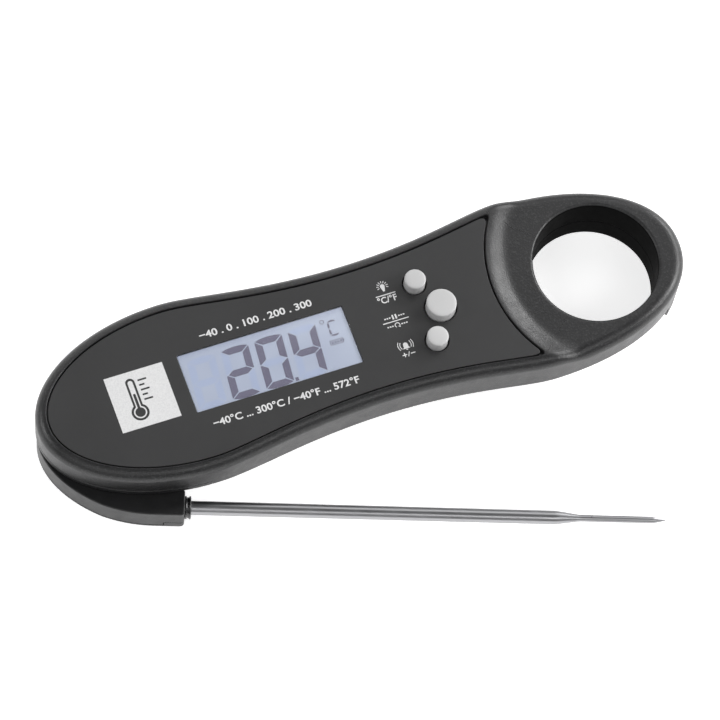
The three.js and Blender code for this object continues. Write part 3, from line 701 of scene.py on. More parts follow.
def rear_shell():
    shell = holed_blank(rear_levels(), flat_drop, HOLE["lip"], 0.1)
    strip_top = HUB_PARTING - SEAM
    strip = slab(outline(), [(PARTING - 2, 0), (strip_top - EDGE, 0), (strip_top, EDGE)])
    lip = outline_slab(LIP_WALL, PARTING - 2, LIP_TOP)
    bridge = outline_slab(LIP_WALL, PARTING - 2, LIP_TOP)
    join(
        shell,
        keep(lip, across(HUB_PARTING_X, CAVITY_END_X - 0.3)),
        keep(strip, across(-OUTSIDE["x"], HUB_PARTING_X - 0.1)),
        keep(bridge, across(HUB_PARTING_X - 3, HUB_PARTING_X + 1)),
    )
    cut(shell, rear_cavity(), hub_pocket(), probe_channel(PARTING + 1))
    for node in CASE_SCREWS:
        place = node_centre(node)
        add_post(shell, place, CASE_POST, (REAR_FLOOR - 0.5, 8.2), (-1, 9))
        cut(shell, turned([(2.85, -1), (2.85, 0), (2.5, 0.35), (2.5, 3)], place, 48))
    return cut(shell, disc(PIVOT, PIVOT_BORE, HUB_CEILING - 1, HUB_PARTING + 1, 48), cover_opening())


# ------------------------------------------------------------------ face, display and buttons

LCD_TOP = PLATE_TOP - 0.42


def face_plate():
    plan = plate_outline(RIM_RADIUS + 0.2, STEP["outer"] + 0.1, 2.0)
    plate = slab(plan, rounded_levels(PLATE_LOW.z, PLATE_TOP, 0.05, 0.14, 3))
    cut(plate, window_opening(0.06, 10, PLATE_TOP - 0.08, PLATE_TOP + 0.3))
    for name, radius in BUTTONS.items():
        gap = radius + 0.42
        profile = [(gap, 10), (gap, PLATE_TOP - 0.06), (gap + 0.18, PLATE_TOP + 0.12)]
        cut(plate, turned(profile, node_centre(f"{name}_button"), 96))
    return plate


def button_cap(name):
    """A cap with a domed top edge, on the flange that holds it under the deck."""
    radius = BUTTONS[name]
    node = f"{name}_button"
    bottom = node_box(node)[0].z
    flange, flange_top = radius + 0.8, bottom + 0.6
    edge, crown, crown_steps = 0.4, 0.08, 5
    profile = [(flange, bottom), (flange, flange_top - 0.1), (flange - 0.1, flange_top), (radius, flange_top)]
    profile += arc_points(radius - edge, BUTTON_TOP - crown - edge, edge, 0, 80, 7)
    for i in range(1, crown_steps):
        share = 1 - i / crown_steps
        profile.append(((radius - edge) * share, BUTTON_TOP - crown * share * share))
    profile.append((0.02, BUTTON_TOP))
    return turned(profile, node_centre(node), 72)


def switch_piece(name):
    """A push switch: a square foot with chamfered corners and a round plunger."""
    node = f"{name}_switch"
    low, high = node_box(node)
    foot_top, radius = 13.0, 1.1
    foot = slab(node_plan(node), rounded_levels(low.z, foot_top, 0.1, 0.25, 2))
    profile = [(radius, foot_top - 0.1), (radius, high.z - 0.1), (radius - 0.1, high.z)]
    return join(foot, turned(profile, node_centre(node), 32))


def lcd_panel():
    """The display glass, with its edges eased and the lit field raised in the window."""
    low, high = node_box("lcd_panel")
    panel = slab(node_plan("lcd_panel"), rounded_levels(low.z, high.z, EDGE, EDGE, 2))
    return join(panel, window_opening(-0.1, high.z - 0.1, LCD_TOP - 0.01, LCD_TOP))


def display_window():
    """The clear cover, with its upper edge rounded."""
    plan = node_plan("display_window")
    levels = rounded_levels(LCD_TOP + 0.12, PLATE_TOP - 0.03, 0.02, 0.08, 3)
    return slab(round_corners(plan, list(plan), 0.3, 4), levels)


# ------------------------------------------------------------------ flat print

INK = {"bottom": PLATE_TOP - 0.01, "thickness": 0.03}
SQUARE = {"x": -59.2, "side": 15.4}
LABEL_X = 8.35
FONT_HEIGHT = 0.72
# Each text's words, left, right, baseline, height and thickening.
DIAL_TEXT = ("−40 . 0 . 100 . 200 . 300", -40.3, -10.3, 10.5, 1.9, 0.055)
UNITS_TEXT = ("°C/°F", 5.8, 10.9, 5.35, 1.75, 0.045)
RANGE_TEXT = ("−40°C ... 300°C / −40°F ... 572°F", -44.7, -6.0, -13.17, 1.9, 0.055)


def print_object(loops, bottom, thickness):
    """Flat shapes of one thickness, each a plain closed loop."""
    points, faces = [], []
    for loop in loops:
        start, count = len(points), len(loop)
        middle = start + count
        points += [Vector((p[0], p[1], z)) for z in (bottom, bottom + thickness) for p in loop]
        faces.append(tuple(reversed(range(start, middle))))
        faces.append(tuple(range(middle, middle + count)))
        faces += band_faces(start, middle, count)
    return mesh_object(points, faces)


def text_object(words, left, right, baseline, height, thicken, bottom, thickness):
    """Numbers and signs fitted between left and right, as a flat mesh."""
    curve = bpy.data.curves.new("words", "FONT")
    curve.body = words
    curve.size = height / FONT_HEIGHT
    curve.offset = thicken
    curve.extrude = thickness / 2
    curve.resolution_u = 4
    obj = link_object("words", curve)
    bpy.context.view_layer.update()
    mesh = evaluated_mesh(obj)
    bpy.data.objects.remove(obj)
    bpy.data.curves.remove(curve)
    low = min(v.co.x for v in mesh.vertices)
    high = max(v.co.x for v in mesh.vertices)
    stretch = (right - left) / (high - low)
    mesh.transform(Matrix.Diagonal((stretch, 1, 1, 1)) @ Matrix.Translation((-low, 0, 0)))
    mesh.transform(Matrix.Translation((left, baseline, bottom + thickness / 2)))
    return link_object("words", clean_mesh(mesh, 1e-4))


def stroke(start, end, width):
    """A straight line with square ends, as a loop."""
    start, end = Vector(start), Vector(end)
    along = (end - start).normalized()
    side = Vector((-along.y, along.x)) * width / 2
    return [start - side, end - side, end + side, start + side]


def arc_band(x, y, radius, width, start, end, steps=24):
    """Part of a ring between two angles in degrees, as one loop."""
    outer = arc_points(x, y, radius + width / 2, start, end, steps)
    inner = arc_points(x, y, radius - width / 2, start, end, steps)
    return outer + list(reversed(inner))


def rounded_end_bar(x, bottom, top, half):
    """An upright bar with a round top."""
    return [(x - half, bottom), (x + half, bottom)] + arc_points(x, top - half, half, 0, 180, 14)


def square_and_icon():
    """A light square that shows the plate through it in the shape of a plain thermometer."""
    half = SQUARE["side"] / 2
    card = prism(rectangle(SQUARE["x"] - half, -half, SQUARE["x"] + half, half), INK["bottom"],
                 INK["bottom"] + INK["thickness"])
    x, bulb_y, bulb_radius, stem = SQUARE["x"] - 1.7, -3.6, 2.25, 1.2

    def thermometer(top, half_stem, radius, reach):
        low, high = PLATE_TOP - reach, PLATE_TOP + reach
        column = prism(rounded_end_bar(x, bulb_y, top, half_stem), low, high)
        return join(column, disc((x, bulb_y), radius, low, high))

    icon = cut(thermometer(5.9, stem, bulb_radius, 1), thermometer(5.25, stem - 0.55, bulb_radius - 0.6, 2))
    join(icon, thermometer(1.6, 0.34, bulb_radius - 0.95, 3))
    for i in range(5):
        start, y = x + 2.0, -0.6 + i * 1.35
        reach = 2.3 if i % 2 == 0 else 1.4
        join(icon, block(start, start + reach, y - 0.24, y + 0.24, PLATE_TOP - 1, PLATE_TOP + 1))
    return cut(card, icon)


def bulb_icon():
    """A lamp with rays, for the light button."""
    x, y, half, foot = LABEL_X, 9.85, 0.62, 0.22
    loops = [[(x - half, y + 0.1), (x - foot, y - 1.35), (x + foot, y - 1.35), (x + half, y + 0.1)]]
    loops.append(arc_band(x, y + 0.08, 0.32, 0.62, 0, 180, 14))
    for i in range(9):
        angle = math.radians(-18 + i * 27)
        direction = Vector((math.cos(angle), math.sin(angle)))
        start = Vector((x, y + 0.05)) + direction * 0.92
        loops.append(stroke(start, start + direction * 0.62, 0.19))
    return loops


def dashes(y):
    """Three short dashes on each side of a sign."""
    centres = [LABEL_X + side * (1.25 + 0.62 * i) for side in (-1, 1) for i in range(3)]
    return [rectangle(x - 0.21, y - 0.17, x + 0.21, y + 0.17) for x in centres]


def hold_icon():
    """Two upright bars, the usual sign for a hold, between short dashes."""
    x, y, near, far = LABEL_X, 1.05, 0.2, 0.62
    bars = [rectangle(x0, y - 0.65, x1, y + 0.65) for x0, x1 in [(x - far, x - near), (x + near, x + far)]]
    return bars + dashes(y)


def reset_icon():
    """A round arrow, the usual sign for a reset."""
    x, y, radius, start = LABEL_X, -1.35, 0.62, -40
    tip_x, tip_y = arc_points(x, y, radius, start, start, 1)[0]
    head = [(tip_x - 0.42, tip_y + 0.02), (tip_x + 0.12, tip_y - 0.36), (tip_x + 0.3, tip_y + 0.3)]
    return [arc_band(x, y, radius, 0.22, start, 235), head] + dashes(y)


def bell_icon():
    """A bell, for the alarm button."""
    x, y, half, flare = LABEL_X, -7.45, 0.62, 0.98
    rim = [(x - flare, y - 0.72), (x + flare, y - 0.72), (x + half, y - 0.3)]
    body = rim + arc_points(x, y + 0.35, half, 0, 180, 12) + [(x - half, y - 0.3)]
    loops = [body, arc_band(x, y - 0.85, 0.14, 0.26, 180, 360, 10)]
    for side in (0, 180):
        for radius, spread in [(1.45, 38), (2.0, 34)]:
            loops.append(arc_band(x, y + 0.3, radius, 0.2, side - spread, side + spread, 10))
    return loops


def set_icon():
    """A plus and a minus, for setting the alarm."""
    y, left, right, reach, half = -9.75, LABEL_X - 1.1, LABEL_X + 1.1, 0.6, 0.13
    return [
        rectangle(left - reach, y - half, left - half, y + half),
        rectangle(left - half, y - reach, left + half, y + reach),
        rectangle(left + half, y - half, left + reach, y + half),
        rectangle(right - reach, y - half, right + reach, y + half),
        stroke((LABEL_X - 0.28, y - 0.62), (LABEL_X + 0.28, y + 0.62), 0.2),
    ]


def label_marks():
    lines = [rectangle(5.75, 7.4, 11.0, 7.66), rectangle(4.9, -0.24, 11.8, 0.02)]
    return lines + bulb_icon() + hold_icon() + reset_icon() + bell_icon() + set_icon()


# ------------------------------------------------------------------ display

DIGIT = {"width": 7.3, "height": 14.2, "stroke": 1.85, "gap": 0.2, "pitch": 8.95, "y": -0.92, "lean": 5.2}
LAST_DIGIT_X = -15.65
SHOWN = " 204"
SEGMENTS_LIT = {"0": "abcdef", "2": "abged", "4": "fgbc", " ": ""}
BATTERY = {"left": -9.5, "right": -6.0, "low": -1.35, "high": -0.05, "line": 0.16}
LCD_LAYER = {"bottom": LCD_TOP - 0.01, "thickness": 0.05}
GHOST_LAYER = {"bottom": LCD_TOP - 0.01, "thickness": 0.03}


def segment_shapes(width, height, thick, gap):
    """The seven strokes of a digit about its centre, with mitred ends and eased outer corners."""
    w, h, t, g = width / 2, height / 2, thick, gap
    ease = 0.55
    shoulder, crown = h - ease, h - ease / 4
    top = [(-w + g, shoulder), (-w * 0.55, crown), (0, h), (w * 0.55, crown), (w - g, shoulder),
           (w - t - g * 0.5, h - t), (-w + t + g * 0.5, h - t)]
    side = [(w, shoulder - 0.15), (w, g * 0.8), (w - t * 0.16, g * 0.8), (w - t, t / 2 + g * 1.4),
            (w - t, h - t - g * 1.6)]
    middle = [(-w + t * 0.3, 0), (-w + t, t / 2), (w - t, t / 2),
              (w - t * 0.3, 0), (w - t, -t / 2), (-w + t, -t / 2)]

    def flipped(loop, x, y):
        moved = [(px * x, py * y) for px, py in loop]
        return moved if x * y > 0 else list(reversed(moved))

    return {
        "a": top, "d": flipped(top, 1, -1), "g": middle,
        "b": side, "c": flipped(side, 1, -1), "f": flipped(side, -1, 1), "e": flipped(side, -1, -1),
    }


def leaned(loop, x, y, lean):
    slope = math.tan(math.radians(lean))
    return [(x + px + py * slope, y + py) for px, py in loop]


def digit_loops(lit):
    """The lit or the unlit strokes of the digits, rightmost digit last."""
    shapes = segment_shapes(DIGIT["width"], DIGIT["height"], DIGIT["stroke"], DIGIT["gap"])
    loops = []
    for i, figure in enumerate(SHOWN):
        x = LAST_DIGIT_X - (len(SHOWN) - 1 - i) * DIGIT["pitch"]
        for segment, shape in shapes.items():
            if (segment in SEGMENTS_LIT[figure]) == lit:
                loops.append(leaned(shape, x, DIGIT["y"], DIGIT["lean"]))
    return loops


def battery_sign():
    """An outline of four lines with a knob at its end, round four cells."""
    left, right, low, high, line = BATTERY.values()
    cells = [left + 0.42 + 0.75 * i for i in range(4)]
    return [
        rectangle(left, low, right, low + line),
        rectangle(left, high - line, right, high),
        rectangle(left, low + line, left + line, high - line),
        rectangle(right - line, low + line, right, high - line),
        rectangle(right, low + 0.4, right + 0.25, high - 0.4),
    ] + [rectangle(x, low + 0.38, x + 0.46, high - 0.38) for x in cells]


def display_marks():
    """The decimal point, the degree sign, a C of four strokes and a battery sign."""
    loops = [rectangle(-21.1, -7.7, -20.25, -6.75)]
    loops += [arc_band(-9.57, 5.55, 0.5, 0.2, start, start + 180) for start in (0, 180)]
    shapes = segment_shapes(2.5, 4.5, 0.52, 0.12)
    loops += [leaned(shapes[segment], -7.35, 3.2, 3) for segment in "afed"]
    return loops + battery_sign()


# ------------------------------------------------------------------ hub and probe, in the folded position


def hub_plan(inset, eased=True):
    """The hub's plan: the body's end, a circle about the pivot, the web and the arm."""
    radius = HUB_RADIUS - inset
    outer_y, inner_y = ARM["outer_y"] + inset, ARM["inner_y"] - inset
    end_x, web_x = ARM["end_x"] - inset, WEB_END_X - inset
    wall = outline(HUB_INSET + inset)
    far = [p for p in wall if p.y >= 0 and p.x < 0 and (p - PIVOT).length < radius]
    near = [p for p in wall if outer_y < p.y < 0 and p.x < HUB_END["x"]]
    start = -math.degrees(math.acos((web_x - PIVOT.x) / radius))
    end = math.degrees(math.atan2(far[0].y, far[0].x - PIVOT.x))
    circle = [Vector(p) for p in arc_points(*PIVOT, radius, start, end, 64)[:-1]]
    kink = Vector((near[-1].x + 0.3, outer_y))
    arm = [kink, Vector((end_x, outer_y)), Vector((end_x, inner_y)), Vector((web_x, inner_y))]
    loop = round_corners(circle + far + near + arm, [kink], 6.5, 10)
    if eased:
        loop = round_corners(loop, [arm[1]], 1.1)
        loop = round_corners(loop, [arm[2], arm[3]], 0.9)
    return loop


def probe_bore():
    return along_probe(disc((0, 0), 2.55, PROBE["root_x"] - 1, ARM["end_x"] + 5, 48))


def toe_block(margin, top):
    """The end of the arm where the cover reaches up past the hub's body."""
    return near_side(ARM["end_x"] - TOE["length"] - margin, 0, 0, top)


def hub_body():
    body = slab(hub_plan(0), rounded_levels(HUB_SEAM + SEAM, HUB_TOP, 0.08, 0.35))
    hollow = prism(hub_plan(HUB_WALL, False), 0, HUB_TOP - HUB_WALL + 0.1)
    cut(body, cut(hollow, toe_block(1.5, OUTSIDE["top"])))
    ceiling = HUB_TOP - 0.5
    join(body, disc(PIVOT, 5.4, 4.4, ceiling), disc(DETENT, 2.1, 3, ceiling, 32))
    for place in HUB_SCREWS:
        add_post(body, place, SMALL_POST, (HUB_SEAM + SEAM, ceiling), (-1, 5.5))
    inner, outer, low = HUB_SEAL.values()
    groove = [(inner, low), (outer, low), (outer, low + 2), (inner, low + 2), (inner, low)]
    cut(body, disc(PIVOT, PIVOT_BORE, -1, 20), disc(DETENT, 1.4, 3.8, 20, 32), turned(groove, PIVOT, 96))
    return turn_open(cut(body, toe_block(SEAM, TOE["top"] + SEAM), probe_bore()))


def hub_cover():
    cover = slab(hub_plan(0), rounded_levels(0, HUB_SEAM - SEAM, 0.3, 0.06))
    toe = slab(hub_plan(0), rounded_levels(0, TOE["top"], 0.3, 0.06))
    join(cover, keep(toe, toe_block(-SEAM, TOE["top"] - SEAM)))
    for place in HUB_SCREWS:
        well = turned([(2.1, -1), (2.1, 0), (1.9, 0.15), (1.9, 0.5)], place, 48)
        cut(cover, well, disc(place, SMALL_POST["bore"], -1, 3, 24))
    return turn_open(cut(cover, probe_bore()))


def probe_collar():
    start, end = ARM["end_x"], PROBE["face_x"]
    bore, root = PROBE["radius"] + 0.03, ARM["end_x"] - 4
    profile = [(bore, root), (2.25, root), (2.25, start + 0.04), (2.75, start + 0.04)]
    profile += arc_points(2.78, start + 0.27, 0.22, -80, 60)
    profile += arc_points(3.02, start + 0.8, 0.34, 225, 135)
    profile += arc_points(2.72, end - 0.3, 0.28, -50, 80)
    profile += [(bore + 0.15, end), (bore, end - 0.1), (bore, root)]
    return turn_open(along_probe(turned(profile, segments=72)))


def probe_tube():
    root, radius, tip = PROBE["root_x"], PROBE["radius"], PROBE["tip_radius"]
    shoulder = PROBE["face_x"] + PROBE_LENGTHS["tube"]
    neck = shoulder + PROBE_LENGTHS["taper"]
    point = neck + PROBE_LENGTHS["tip"]
    end = point + PROBE_LENGTHS["point"]
    taper_start = (radius - 0.08, shoulder + 0.2)
    profile = [(radius - 0.05, root), (radius, root + 0.05)]
    profile += between((radius, root), (radius, shoulder - 0.6), 12)
    profile += [(radius - 0.02, shoulder - 0.2), taper_start]
    profile += between(taper_start, (tip + 0.06, neck - 0.3), 6)
    profile += [(tip + 0.01, neck + 0.3), (tip, neck + 0.8)]
    profile += between((tip, neck), (tip, point), 6)[:-1]
    profile += [(tip, point - 0.2), (tip - 0.03, point), (tip - 0.1, point + 0.25)]
    profile += [(0.16, end - 0.25), (0.1, end - 0.08), (0.03, end)]
    bore = radius - PROBE_WALL
    inside = [(bore, root - 1), (bore, shoulder), (0.5, neck), (0.5, point - 1), (0.02, point - 0.5)]
    return turn_open(along_probe(cut(turned(profile, segments=56), turned(inside, segments=32))))


# ------------------------------------------------------------------ screws and battery cover


def cross_recess(place, reach, width, bottom, depth):
    """A cross-shaped driver recess, for a head that faces down."""
    tools = []
    for half_x, half_y in [(reach, width), (width, reach)]:
        plan = rectangle(place[0] - half_x, place[1] - half_y, place[0] + half_x, place[1] + half_y)
        tools.append(slab(plan, [(bottom - 1, 0), (bottom, 0), (bottom + depth, width * 0.35)]))
    return join(*tools)


def screw(node, place, head, shank):
    """A self-tapping screw with its head down, its thread as rings along the shank."""
    low, high = node_box(node)
    head_top = low.z + head * 0.55
    edge, root, pitch = head * 0.28, shank * 0.8, shank * 0.75
    profile = [(head * 0.55, low.z)] + arc_points(head * 0.72, low.z + edge, edge, -70, 20, 6)
    profile += [(head, head_top), (root, head_top)]
    height = head_top + pitch
    while height < high.z - 3 * pitch:
        profile += [(root, height), (shank, height + pitch * 0.35), (shank, height + pitch * 0.45)]
        height += pitch
    profile += [(root, height), (0.08, high.z)]
    recess = cross_recess(place, head * 0.62, head * 0.13, low.z, head * 0.4)
    return cut(turned(profile, place, 36), recess)


def coin_slot():
    """A straight slot with round ends, its mouth flared."""
    half_length, half_width, mouth = 5.0, 0.8, 0.25
    plan = []
    for side in (1, -1):
        start = -90 * side
        plan += arc_points(side * (half_length - half_width), 0, half_width, start, start + 180, 8)
    return slab(plan, [(-1, -mouth), (COVER_LOW.z - 0.02, -mouth), (COVER_LOW.z + 0.22, 0), (0.9, 0)])


def turn_arrow():
    """A curved arrow, sunk into the cover, that shows which way it turns."""
    radius, start, end = 8.3, 205, 300
    angle = math.radians(end)
    outward = Vector((math.cos(angle), math.sin(angle)))
    along = Vector((-math.sin(angle), math.cos(angle)))
    back = outward * radius - along * 0.3
    head = [back - outward * 1.1, back + outward * 1.1, outward * radius + along * 1.9]
    span = (-1, COVER_LOW.z + 0.25)
    return join(prism(arc_band(0, 0, radius, 0.7, start, end, 30), *span), prism(head, *span))


def battery_cover():
    low, radius, wall_top = COVER_LOW.z, COVER_RADIUS, 1.35
    outer, inner, floor, top = COVER_RING.values()
    profile = [(radius - 0.55, low), (radius - 0.25, low + 0.06), (radius - 0.06, low + 0.25)]
    profile += [(radius, low + 0.5), (radius, wall_top), (outer, wall_top)]
    profile += [(outer, top), (inner, top), (inner, floor)]
    cover = turned(profile, segments=128)
    for degrees in LUG_TURNS:
        lug = block(LUG["inner"], LUG["outer"], -LUG["half"], LUG["half"], LUG["bottom"], top)
        join(cover, about(lug, (0, 0), degrees))
    dish = turned([(6.4, -1), (6.4, low - 0.01), (6.1, low + 0.2), (0.5, low + 0.28)], segments=96)
    return about(cut(cover, dish, coin_slot(), turn_arrow()), COVER)


# ------------------------------------------------------------------ materials


def feed(tree, node, inputs):
    """Sets a node's inputs: another node's output is linked, and a plain value is set."""
    for socket, value in inputs.items():
        if isinstance(value, bpy.types.NodeSocket):
            tree.links.new(value, node.inputs[socket])
        elif value is not None:
            node.inputs[socket].default_value = value


def add_node(tree, kind, inputs, **settings):
    made = tree.nodes.new(kind)
    for setting, value in settings.items():
        setattr(made, setting, value)
    feed(tree, made, inputs)
    return made


def new_material(name):
    made = bpy.data.materials.new(name)
    made.use_nodes = True
    tree = made.node_tree
    return made, tree, tree.nodes["Principled BSDF"]


def coordinates(tree, stretch=(1, 1, 1), turn=0.0):
    """Object coordinates in metres, turned about Z and then stretched."""
    source = tree.nodes.new("ShaderNodeTexCoord").outputs["Object"]
    inputs = {"Vector": source, "Rotation": (0, 0, turn), "Scale": stretch}
    return add_node(tree, "ShaderNodeMapping", inputs, vector_type="TEXTURE").outputs["Vector"]


def noise(tree, size_mm, detail=2.0, rough=0.5, stretch=(1, 1, 1), turn=0.0):
    """Noise whose features are about this size."""
    place = coordinates(tree, stretch, turn)
    inputs = {"Scale": 1 / (size_mm * MM), "Detail": detail, "Roughness": rough, "Vector": place}
    return add_node(tree, "ShaderNodeTexNoise", inputs).outputs["Fac"]


def remap(tree, value, from_low, from_high, to_low, to_high):
    span = {"From Min": from_low, "From Max": from_high, "To Min": to_low, "To Max": to_high}
    return add_node(tree, "ShaderNodeMapRange", {"Value": value, **span}).outputs["Result"]


def calculate(tree, operation, first, second):
    return add_node(tree, "ShaderNodeMath", {0: first, 1: second}, operation=operation).outputs["Value"]


def mix_colours(tree, factor, first, second):
    """Between two colours, each a tuple or another node's output."""
    ends = [(*colour, 1) if isinstance(colour, tuple) else colour for colour in (first, second)]
    inputs = {0: factor, 6: ends[0], 7: ends[1]}
    return add_node(tree, "ShaderNodeMix", inputs, data_type="RGBA").outputs[2]


def bump(tree, shader, height, depth_mm, under=None):
    """Height from 0 to 1 as relief of this depth, over another normal if one is given."""
    made = add_node(tree, "ShaderNodeBump", {"Distance": depth_mm * MM, "Height": height, "Normal": under})
    feed(tree, shader, {"Normal": made.outputs["Normal"]})


def worn_edges(tree, radius_mm):
    """0 on flat faces, up to 1 on edges, and the normal with its edges eased."""
    eased = add_node(tree, "ShaderNodeBevel", {"Radius": radius_mm * MM}, samples=4).outputs["Normal"]
    plain = tree.nodes.new("ShaderNodeNewGeometry").outputs["Normal"]
    dot = add_node(tree, "ShaderNodeVectorMath", {0: eased, 1: plain}, operation="DOT_PRODUCT")
    return remap(tree, dot.outputs["Value"], 1.0, 0.86, 0, 1), eased


def moulded_plastic(name, dark, light, roughness, grain_mm, grain_depth, worn=None, shine=0.5,
                    painted_glint=None):
    """Spark-eroded moulded plastic: fine grain, faint blotches and scuffs, and paler worn edges; where a
    glint colour is given, the grain's peaks take it as painted glints.
    """
    made, tree, shader = new_material(name)
    colour = mix_colours(tree, remap(tree, noise(tree, 22, 3), 0.35, 0.65, 0, 1), dark, light)
    scuffs = noise(tree, 3.5, 4, 0.65)
    rough = remap(tree, scuffs, 0.3, 0.7, roughness - 0.05, roughness + 0.06)
    grain = noise(tree, grain_mm, 2, 0.6)
    # The grain's peaks turn lighter. With a glint colour given, they take it as painted glints, standing in
    # for the grain catching the light; without one, they take the lighter tone.
    colour = mix_colours(tree, remap(tree, grain, 0.52, 0.7, 0, 0.5), colour, painted_glint or light)
    under = None
    if worn:
        edge, under = worn_edges(tree, 0.22)
        patchy = calculate(tree, "MULTIPLY", edge, remap(tree, scuffs, 0.4, 0.65, 0.25, 1))
        colour = mix_colours(tree, patchy, colour, worn)
        rough = calculate(tree, "SUBTRACT", rough, calculate(tree, "MULTIPLY", patchy, 0.12))
    feed(tree, shader, {"Base Color": colour, "Roughness": rough, "Specular IOR Level": shine})
    bump(tree, shader, grain, grain_depth, under)
    return made


def metal(name, dark, light, roughness, grain_mm, stretch=(1, 1, 1), turn=0.0, depth=0.002):
    """Metal with drawn or tumbled grain, faint stains and slight changes of gloss."""
    made, tree, shader = new_material(name)
    grain = noise(tree, grain_mm, 3, 0.6, stretch, turn)
    colour = mix_colours(tree, remap(tree, grain, 0.3, 0.7, 0, 1), dark, light)
    rough = remap(tree, noise(tree, 6, 3), 0.3, 0.7, roughness - 0.05, roughness + 0.07)
    feed(tree, shader, {"Base Color": colour, "Roughness": rough, "Metallic": 1})
    bump(tree, shader, grain, depth)
    return made


def ink(name, colour, faded):
    """Screen-printed ink: slightly uneven cover and a dull surface."""
    made, tree, shader = new_material(name)
    cover = remap(tree, noise(tree, 0.35, 3, 0.6), 0.3, 0.62, 0, 1)
    tint = mix_colours(tree, cover, faded, colour)
    feed(tree, shader, {"Base Color": tint, "Roughness": remap(tree, cover, 0, 1, 0.62, 0.5)})
    bump(tree, shader, noise(tree, 0.12, 2), 0.004)
    return made


def lit_display(name, colour, shade, glow):
    """A back-lit display layer, with painted shadow along its far edge, where the plate's edge shades it."""
    made, tree, shader = new_material(name)
    split = add_node(tree, "ShaderNodeSeparateXYZ", {"Vector": coordinates(tree)})
    # Painted shadow: the layer darkens towards its far edge, standing in for the shade of the plate's edge on
    # it.
    edge = remap(tree, split.outputs["Y"], 6.3 * MM, 8.1 * MM, 0, 0.85)
    cloud = remap(tree, noise(tree, 14, 2), 0.35, 0.65, 0, 0.3)
    tint = mix_colours(tree, calculate(tree, "MAXIMUM", edge, cloud), colour, shade)
    rough = remap(tree, noise(tree, 0.6, 2), 0.3, 0.7, 0.32, 0.4)
    feed(tree, shader, {"Base Color": tint, "Roughness": rough})
    feed(tree, shader, {"Emission Color": tint, "Emission Strength": glow})
    return made


def clear_cover():
    """Clear acrylic: it lets light through and shines like glass, with faint wipe marks."""
    made, tree, shader = new_material("clear_acrylic")
    tree.nodes.remove(shader)
    facing = tree.nodes.new("ShaderNodeLayerWeight").outputs["Facing"]
    share = remap(tree, calculate(tree, "POWER", facing, 4.5), 0, 1, 0.035, 0.9)
    wipes = noise(tree, 1.2, 4, 0.6, (6, 1, 1), 0.5)
    through = tree.nodes.new("ShaderNodeBsdfTransparent")
    shine = add_node(tree, "ShaderNodeBsdfGlossy", {"Roughness": remap(tree, wipes, 0.35, 0.7, 0.03, 0.12)})
    inputs = {0: share, 1: through.outputs["BSDF"], 2: shine.outputs["BSDF"]}
    mixed = add_node(tree, "ShaderNodeMixShader", inputs)
    feed(tree, tree.nodes["Material Output"], {"Surface": mixed.outputs["Shader"]})
    return made


def gloss_black():
    """Polished black plastic under a clear coat, with faint handling marks."""
    made, tree, shader = new_material("gloss_black")
    marks = noise(tree, 1.4, 4, 0.65)
    colour = mix_colours(tree, marks, (0.006, 0.006, 0.007), (0.014, 0.014, 0.015))
    feed(tree, shader, {"Base Color": colour, "Roughness": remap(tree, marks, 0.3, 0.7, 0.16, 0.26)})
    feed(tree, shader, {"Coat Weight": 0.6, "Coat Roughness": 0.06})
    bump(tree, shader, noise(tree, 0.5, 2), 0.002)
    return made


def circuit_board():
    """Green solder mask over copper tracks, with tinned pads."""
    made, tree, shader = new_material("circuit_board")
    inputs = {"Scale": 1 / (2.6 * MM), "Mortar Size": 0.09, "Vector": coordinates(tree)}
    tracks = add_node(tree, "ShaderNodeTexBrick", inputs).outputs["Fac"]
    pads = add_node(tree, "ShaderNodeTexVoronoi", {"Scale": 1 / (3.1 * MM), "Vector": coordinates(tree)})
    pad = remap(tree, pads.outputs["Distance"], 0.16, 0.2, 1, 0)
    mask = mix_colours(tree, tracks, (0.012, 0.09, 0.03), (0.03, 0.2, 0.06))
    colour = mix_colours(tree, pad, mask, (0.55, 0.53, 0.5))
    feed(tree, shader, {"Base Color": colour, "Roughness": remap(tree, pad, 0, 1, 0.35, 0.28)})
    bump(tree, shader, tracks, 0.02)
    return made


def milky(name, colour, tint):
    """Light-carrying plastic or glass with faint cloudiness."""
    made, tree, shader = new_material(name)
    cloud = noise(tree, 4, 3)
    colour = mix_colours(tree, cloud, colour, tint)
    feed(tree, shader, {"Base Color": colour, "Roughness": remap(tree, cloud, 0.3, 0.7, 0.2, 0.35)})
    feed(tree, shader, {"Subsurface Weight": 0.2, "Subsurface Scale": 0.002})
    bump(tree, shader, noise(tree, 0.8, 2), 0.004)
    return made


# A scuffed grey: the colour of worn edges, and on the case's charcoal also the colour of its painted glints.
SCUFF_AND_GLINT = (0.05, 0.05, 0.052)
CHARCOAL = moulded_plastic("charcoal_plastic", (0.009, 0.009, 0.0095), (0.013, 0.013, 0.0135),
                           0.36, 0.45, 0.055, worn=SCUFF_AND_GLINT, painted_glint=SCUFF_AND_GLINT)
# The hub's plastic: the case's charcoal made darker, as painted shade for the shade the case casts over the
# hub.
SHADED_HUB_CHARCOAL = moulded_plastic("hub_plastic_painted_shade", (0.005, 0.005, 0.0055), (0.008, 0.008, 0.0085),
                               0.4, 0.4, 0.03, worn=(0.045, 0.045, 0.047))
